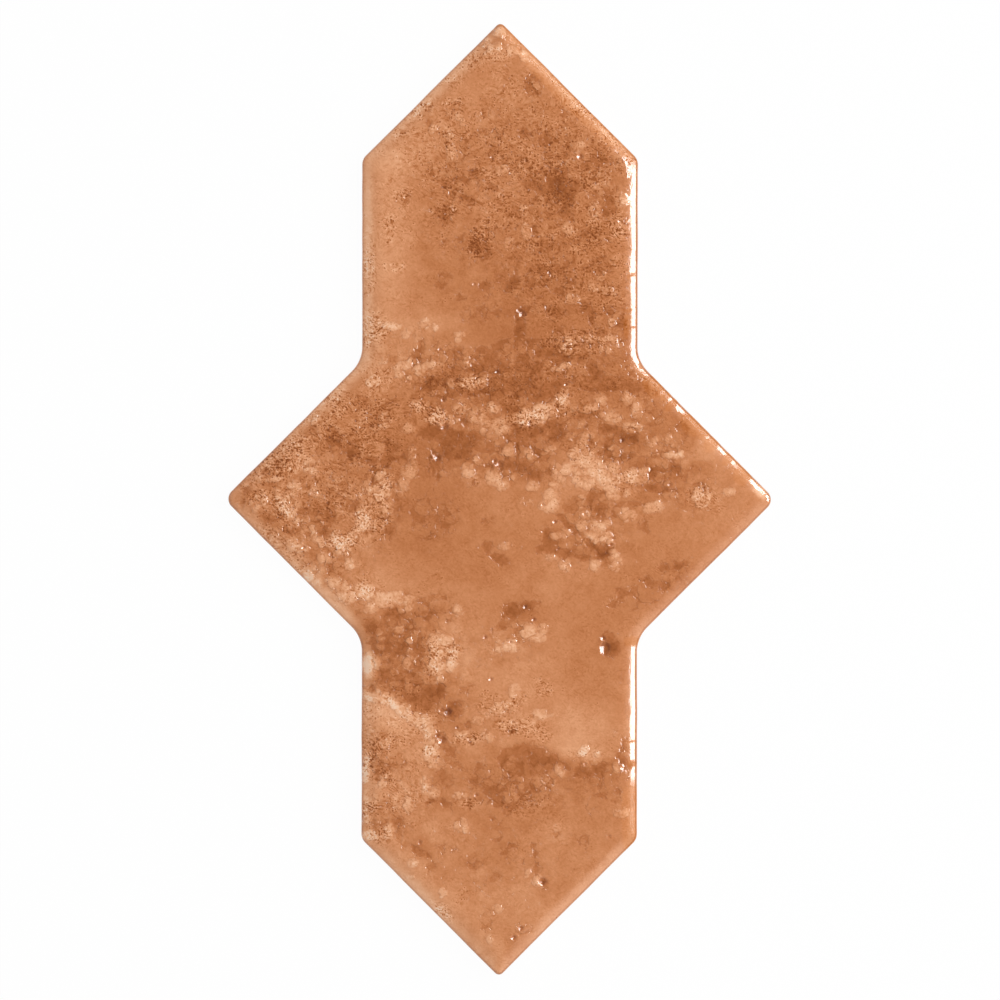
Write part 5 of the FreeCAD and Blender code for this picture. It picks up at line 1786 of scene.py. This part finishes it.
@dataclass(frozen=True)
class TerracottaGlaze:
    """The glossy mottled glaze, from burnt orange where it pools to pale peach where it is thin."""

    # Brightness, 0 to 1, and the colour that the glaze has there, from the deepest pool to the
    # thinnest bloom
    colours: tuple = (
        (0.32, (138, 69, 20)),
        (0.42, (168, 94, 43)),
        (0.50, (189, 113, 63)),
        (0.56, (203, 128, 78)),
        (0.62, (216, 143, 95)),
        (0.70, (233, 164, 118)),
        (0.80, (251, 192, 150)),
        (0.88, (255, 215, 184)),
    )
    middle: float = 0.569
    roughness: float = 0.07
    dullness: float = 0.93
    refraction: float = 1.55
    pinholes: Pinholes = Pinholes()

    cloud: Noise = Noise(15.0, 3.0, 0.5, 0.4)
    mottle: Noise = Noise(4.6, 3.0, 0.6, 0.3, (31.0, 7.0, 3.0))
    fine: Noise = Noise(1.5, 2.0, 0.6)
    grain: Noise = Noise(0.5, 1.0, 0.6)

    # What is drawn in plan stops at the top of the joint faces, where it would become streaks
    plan_insets: tuple[float, float] = (0.02, 0.30)
    # What each pattern adds to the brightness
    tone_low: float = 0.025
    tone_upper: float = 0.065
    cloud_amount: float = 0.027
    mottle_amount: float = 0.062
    fine_amount: float = 0.022
    speckle_amount: float = 0.020
    puff_amount: float = 0.020
    puffs_in_bloom: Step = Step(0.1, 0.9, 0.050)
    puffs_in_thin: Step = Step(-0.2, 0.3, 0.050)
    pool_shore: Step = Step(-0.15, 0.3, -0.055)
    pool_depth: Step = Step(0.2, 1.8, -0.060)
    thin_shore: Step = Step(-0.1, 0.25, 0.060)
    thin_depth: Step = Step(0.2, 1.6, 0.080)
    between_blooms: Step = Step(0.2, 0.9, -0.020)
    # Paler along the cushion: partly the thinner glaze at the edges, partly a painted sheen there
    pale_cushion_and_sheen: Step = Step(3.6, 0.8, 0.085)
    # The pits' hollows darker: pooled glaze, and painted shade in the hollow
    pit_pool_and_shade: Step = Step(-0.04, -0.3, -0.10)
    hole_amount: float = -0.20
    halo_amount: float = 0.07
    dark_dash: Step = Step(0.20, 0.46, -0.26)
    pale_dash: Step = Step(-0.05, -0.6, 0.13)
    # How high the fine bumps are, in millimetres
    fine_bump: float = 0.004
    mottle_bump: float = 0.010
    hole_bump: float = -0.02
    grain_bump: float = 0.008
    puff_bump: float = 0.02
    puff_bump_in_bloom: Step = Step(0.1, 0.9, 0.14)
    thin_bump: Step = Step(-0.3, 0.5, 0.12)
    pool_bump: Step = Step(-0.4, 0.4, -0.09)
    # From which cover of the dull marks on the glaze mirrors less, and from which one it is all dull
    matt_cover: tuple[float, float] = (0.2, 0.9)

    def _colour(self, sheet: Sheet, bright: Value) -> NodeSocket:
        """Turns brightness into the glaze's colour.

        Args:
            sheet: The material's tree.
            bright: The brightness.

        Returns:
            The colour.
        """
        lowest, highest = self.colours[0][0], self.colours[-1][0]
        span = highest - lowest
        stops = [((place - lowest) / span, from_srgb(*colour)) for place, colour in self.colours]
        sockets = {"Fac": (bright - lowest) / span}
        return sheet.node("ShaderNodeValToRGB", {"stops": stops}, sockets).outputs["Color"]

    def shader(self, sheet: Sheet, at: NodeSocket, pattern: GlazeField) -> NodeSocket:
        """Draws the glaze.

        Args:
            sheet: The material's tree.
            at: The place, in millimetres.
            pattern: The rules that the relief follows as well.

        Returns:
            The shader.
        """
        tone, speckle, inset, bloom = (vertex_value(sheet, name) for name in (TONE, SPECKLE, INSET, BLOOM))
        level = sheet.vector("MULTIPLY", at, IN_PLAN)
        upper = inset.ramp(*self.plan_insets)
        thin, pool, puffs = pattern.patches(sheet, level, vertex_value)
        cloud, mottle, fine, grain = (noise.over(sheet, at)
                                      for noise in (self.cloud, self.mottle, self.fine, self.grain))

        active = (bloom + speckle * 0.5 + cloud * 0.15).ramp(0.0, 0.8) * 0.75 + 0.55
        bright = self.middle + tone * (upper * self.tone_upper + self.tone_low) + cloud * self.cloud_amount
        bright = bright + mottle * active * self.mottle_amount
        bright = bright + fine * (active * self.fine_amount + speckle.at_most(1.0) * self.speckle_amount)
        drawn = puffs * (self.puffs_in_bloom.of(bloom) + self.puffs_in_thin.of(thin) + self.puff_amount)
        drawn = drawn + self.pool_shore.of(pool) + self.pool_depth.of(pool)
        drawn = drawn + self.thin_shore.of(thin) + self.thin_depth.of(thin) + self.between_blooms.of(bloom)
        # The cushion is drawn paler, partly as thin glaze and partly as a painted sheen
        bright = bright + drawn * upper + self.pale_cushion_and_sheen.of(inset)
        # The thin dark line just inside the joint face, painted shade and dark reflection on the steeply
        # turned arris
        rim = inset.ramp(0.08, 0.22) * inset.ramp(0.62, 0.40)
        bright = bright - rim * (0.10 + mottle * 0.05)

        flock = pattern.flocks(sheet, level)
        cover = (speckle * (flock * 0.9 + 0.75) + flock * 0.12 + 0.10 + thin.ramp(0.0, 0.8) * 0.12) * upper
        hole, halo = self.pinholes.drawn(sheet, level, cover)
        crowd = cover.at_least(0.0).at_most(1.1)
        dash = pattern.dashes(sheet, level)
        bright = bright + hole * self.hole_amount + halo * self.halo_amount
        bright = bright + (self.dark_dash.of(dash) + self.pale_dash.of(dash)) * crowd
        # Grain, and the pits' hollows darkened: pooled glaze with painted shade
        bright = bright + grain * (crowd * 0.10 + 0.016) + self.pit_pool_and_shade.of(vertex_value(sheet, PIT))
        colour = self._colour(sheet, bright)

        bumps = fine * self.fine_bump + mottle * self.mottle_bump + hole * self.hole_bump
        bumps = bumps + grain * crowd * self.grain_bump
        raised = puffs * (self.puff_bump_in_bloom.of(bloom) + self.puff_bump) + self.thin_bump.of(thin)
        normal = sheet.bump(bumps + (raised + self.pool_bump.of(pool)) * upper)
        glossy = sheet.node("ShaderNodeBsdfPrincipled", {}, {
            "Base Color": colour,
            "Roughness": self.roughness,
            "IOR": self.refraction,
            "Normal": normal,
        })
        dull = sheet.node("ShaderNodeBsdfPrincipled", {}, {
            "Base Color": colour,
            "Roughness": 1.0,
            "Specular IOR Level": 0.0,
            "Normal": normal,
        })
        share = vertex_value(sheet, MATT).ramp(*self.matt_cover) * self.dullness
        sockets = {0: share, 1: glossy.outputs["BSDF"], 2: dull.outputs["BSDF"]}
        return sheet.node("ShaderNodeMixShader", {}, sockets).outputs["Shader"]


def mixed(sheet: Sheet, share: Value, first: object, second: object) -> NodeSocket:
    """Mixes two colours.

    Args:
        sheet: The tree to draw in.
        share: How much of the second.
        first: A colour or a link.
        second: A colour or a link.

    Returns:
        The mixed colour.
    """
    node = sheet.node("ShaderNodeMix", {"data_type": "RGBA"}, {0: share, 6: first, 7: second})
    return node.outputs[2]


@dataclass(frozen=True)
class BareBody:
    """The fired body without glaze: pale, matt and finely pitted."""

    colour: tuple = (205, 190, 168)
    stain: tuple = (178, 158, 132)
    grit: tuple = (140, 120, 100)
    roughness: float = 0.82
    cloud_noise: Noise = Noise(22.0, 4.0, 0.6)
    grit_noise: Noise = Noise(0.7, 3.0, 0.7)
    hollow_noise: Noise = Noise(3.0, 3.0)

    def shader(self, sheet: Sheet, at: NodeSocket) -> NodeSocket:
        """Draws the bare body.

        Args:
            sheet: The material's tree.
            at: The place, in millimetres.

        Returns:
            The shader.
        """
        cloud = self.cloud_noise.over(sheet, at).ramp(-0.6, 0.9)
        grit = self.grit_noise.over(sheet, at)
        specks = grit.ramp(0.75, 1.1)
        stained = mixed(sheet, cloud * 0.7, from_srgb(*self.colour), from_srgb(*self.stain))
        height = grit * 0.02 + self.hollow_noise.over(sheet, at) * 0.02 - specks * 0.05
        return sheet.node("ShaderNodeBsdfPrincipled", {}, {
            "Base Color": mixed(sheet, specks * 0.7, stained, from_srgb(*self.grit)),
            "Roughness": self.roughness + grit * 0.04,
            "Normal": sheet.bump(height),
        }).outputs["BSDF"]


@dataclass(frozen=True)
class FiredFinish:
    """The whole finish: glaze down to an uneven line on the joint faces, bare body below it and behind."""

    glaze: TerracottaGlaze = TerracottaGlaze()
    body: BareBody = BareBody()
    line_height: float = 2.3
    line_wander: float = 0.55
    line_softness: float = 0.12
    line_noise: Noise = Noise(7.0, 3.0, 0.6)

    def material(self, pattern: GlazeField) -> bpy.types.Material:
        """Makes the material.

        Args:
            pattern: The rules that the relief follows as well.

        Returns:
            The material.
        """
        material = bpy.data.materials.new("fired_glaze")
        sheet = Sheet.blank(material)
        place = sheet.node("ShaderNodeTexCoord", {}, {}).outputs["Object"]
        scaled = sheet.node("ShaderNodeMapping", {}, {"Vector": place, "Scale": (1 / MM, 1 / MM, 1 / MM)})
        at = scaled.outputs["Vector"]
        line = self.line_height + self.line_noise.over(sheet, at) * self.line_wander
        glazed = (sheet.parts(at)[2] - line).ramp(-self.line_softness, self.line_softness)
        shader = sheet.node("ShaderNodeMixShader", {}, {
            0: glazed,
            1: self.body.shader(sheet, at),
            2: self.glaze.shader(sheet, at, pattern),
        })
        sheet.node("ShaderNodeOutputMaterial", {}, {"Surface": shader.outputs[0]})
        return material


@dataclass(frozen=True)
class Softbox:
    """A square-cornered soft light that looks at the middle of the tile."""

    name: str
    zenith: float
    azimuth: float
    width: float
    height: float
    radiance: float
    shines: bool = True
    glints: bool = True
    distance: float = 900.0

    def hang(self) -> None:
        """Puts the light into the scene."""
        data = bpy.data.lights.new(self.name, "AREA")
        data.shape = "RECTANGLE"
        data.size = self.width * MM
        data.size_y = self.height * MM
        data.energy = self.radiance * math.pi * data.size * data.size_y
        lamp = placed(self.name, data)
        lamp.visible_diffuse = self.shines
        lamp.visible_glossy = self.glints
        zenith, azimuth = math.radians(self.zenith), math.radians(self.azimuth)
        level = math.sin(zenith)
        towards = Vector((level * math.cos(azimuth), level * math.sin(azimuth), math.cos(zenith)))
        lamp.location = towards * self.distance * MM
        lamp.rotation_euler = towards.to_track_quat("Z", "Y").to_euler()


@dataclass
class Studio:
    """Camera, soft light and a plain white floor, as in a catalogue picture taken from straight above."""

    lens: float = 200.0
    sensor: float = 36.0
    framed_width: float = 249.5
    aim_x: float = 0.1
    aim_y: float = -0.2
    roll: float = 0.08
    seen_to: float = 20000.0
    key: Softbox = Softbox("key", 34.0, 12.0, 900.0, 900.0, 2.0, glints=False)
    edge: Softbox = Softbox("edge", 67.0, 9.0, 700.0, 480.0, 18.0, shines=False)
    wing: Softbox = Softbox("wing", 68.0, 45.0, 260.0, 380.0, 18.0, shines=False)
    world_light: float = 0.52
    # What the glaze mirrors from above and from the left, and where it brightens, in parts of the
    # direction's length
    ceiling: float = 0.3
    dark_side: float = 0.4
    bright_side: tuple[float, float] = (0.1, 0.6)
    bright_wall: tuple[float, float] = (0.95, 0.55)
    floor_size: float = 4000.0
    floor_lift: float = 0.97
    floor_colour: float = 0.92

    def camera(self) -> None:
        """Places the camera over the middle of the tile, level with its long axis."""
        data = bpy.data.cameras.new("camera")
        data.lens = self.lens
        data.sensor_width = self.sensor
        data.clip_end = self.seen_to * MM
        camera = placed("camera", data)
        height = self.framed_width * self.lens / self.sensor + EdgeSection().thickness
        camera.location = (self.aim_x * MM, self.aim_y * MM, height * MM)
        camera.rotation_euler = (0.0, 0.0, math.radians(self.roll))
        bpy.context.scene.camera = camera

    def world(self) -> None:
        """Lights all round softly, white to the camera; the glaze mirrors less from above and the left."""
        world = bpy.data.worlds.new("studio")
        sheet = Sheet.blank(world)
        camera, mirrored = self._seen(sheet)
        x, _, z = sheet.parts(sheet.node("ShaderNodeTexCoord", {}, {}).outputs["Generated"])
        side = x.ramp(*self.bright_side) * (1.0 - self.dark_side) + self.dark_side
        shown = z.ramp(*self.bright_wall) * (side - self.ceiling) + self.ceiling
        hidden = (1.0 - camera.at_least(mirrored)) * self.world_light
        strength = camera.at_least(mirrored * shown).at_least(hidden)
        light = sheet.node("ShaderNodeBackground", {}, {"Color": WHITE, "Strength": strength})
        sheet.node("ShaderNodeOutputWorld", {}, {"Surface": light.outputs[0]})
        bpy.context.scene.world = world

    @staticmethod
    def _seen(sheet: Sheet) -> tuple[Value, Value]:
        """Tells the rays apart.

        Args:
            sheet: The tree to draw in.

        Returns:
            1 for the camera's rays, and 1 for reflected and refracted ones.
        """
        path = sheet.node("ShaderNodeLightPath", {}, {})
        camera, glossy, through = (Value(sheet, path.outputs[f"Is {kind} Ray"])
                                   for kind in ("Camera", "Glossy", "Transmission"))
        return camera, glossy.at_least(through)

    def floor(self) -> None:
        """Lays the white floor under the tile; it keeps the tile's shadow."""
        half = self.floor_size / 2 * MM
        mesh = bpy.data.meshes.new("floor")
        corners = [(-half, -half, 0), (half, -half, 0), (half, half, 0), (-half, half, 0)]
        mesh.from_pydata(corners, [], [(0, 1, 2, 3)])
        material = bpy.data.materials.new("studio_floor")
        sheet = Sheet.blank(material)
        grey = (self.floor_colour, self.floor_colour, self.floor_colour, 1.0)
        paper = sheet.node("ShaderNodeBsdfDiffuse", {}, {"Color": grey})
        lit = sheet.node("ShaderNodeEmission", {}, {"Color": WHITE, "Strength": 1.0})
        camera, mirrored = self._seen(sheet)
        share = camera.at_least(mirrored) * self.floor_lift
        both = sheet.node("ShaderNodeMixShader", {}, {0: share, 1: paper.outputs[0], 2: lit.outputs[0]})
        sheet.node("ShaderNodeOutputMaterial", {}, {"Surface": both.outputs[0]})
        mesh.materials.append(material)
        floor = placed("floor", mesh)

    def build(self) -> None:
        """Sets the whole studio up."""
        bpy.context.scene.view_settings.view_transform = "Standard"
        self.camera()
        for softbox in (self.key, self.edge, self.wing):
            softbox.hang()
        self.world()
        self.floor()


def main() -> None:
    """Builds the tile and the studio, and notes the pressed tile's points and faces and the result's
    triangles.
    """
    logging.basicConfig(level=logging.INFO, format="%(name)s: %(message)s")
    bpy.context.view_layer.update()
    pattern = GlazeField()
    finish = FiredFinish().material(pattern)
    mesh = PressedTile().mesh()
    log.info("pressed tile: %d points, %d faces", len(mesh.vertices), len(mesh.polygons))
    tile = SettledGlaze(pattern).settle(mesh, finish)
    triangles = sum(len(face.vertices) - 2 for face in tile.data.polygons)
    log.info("%s: %d triangles", tile.name, triangles)
    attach(tile, BODY)
    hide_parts(NODE)
    Studio().build()
    log.info("studio set up")


if __name__ == "__main__":
    main()
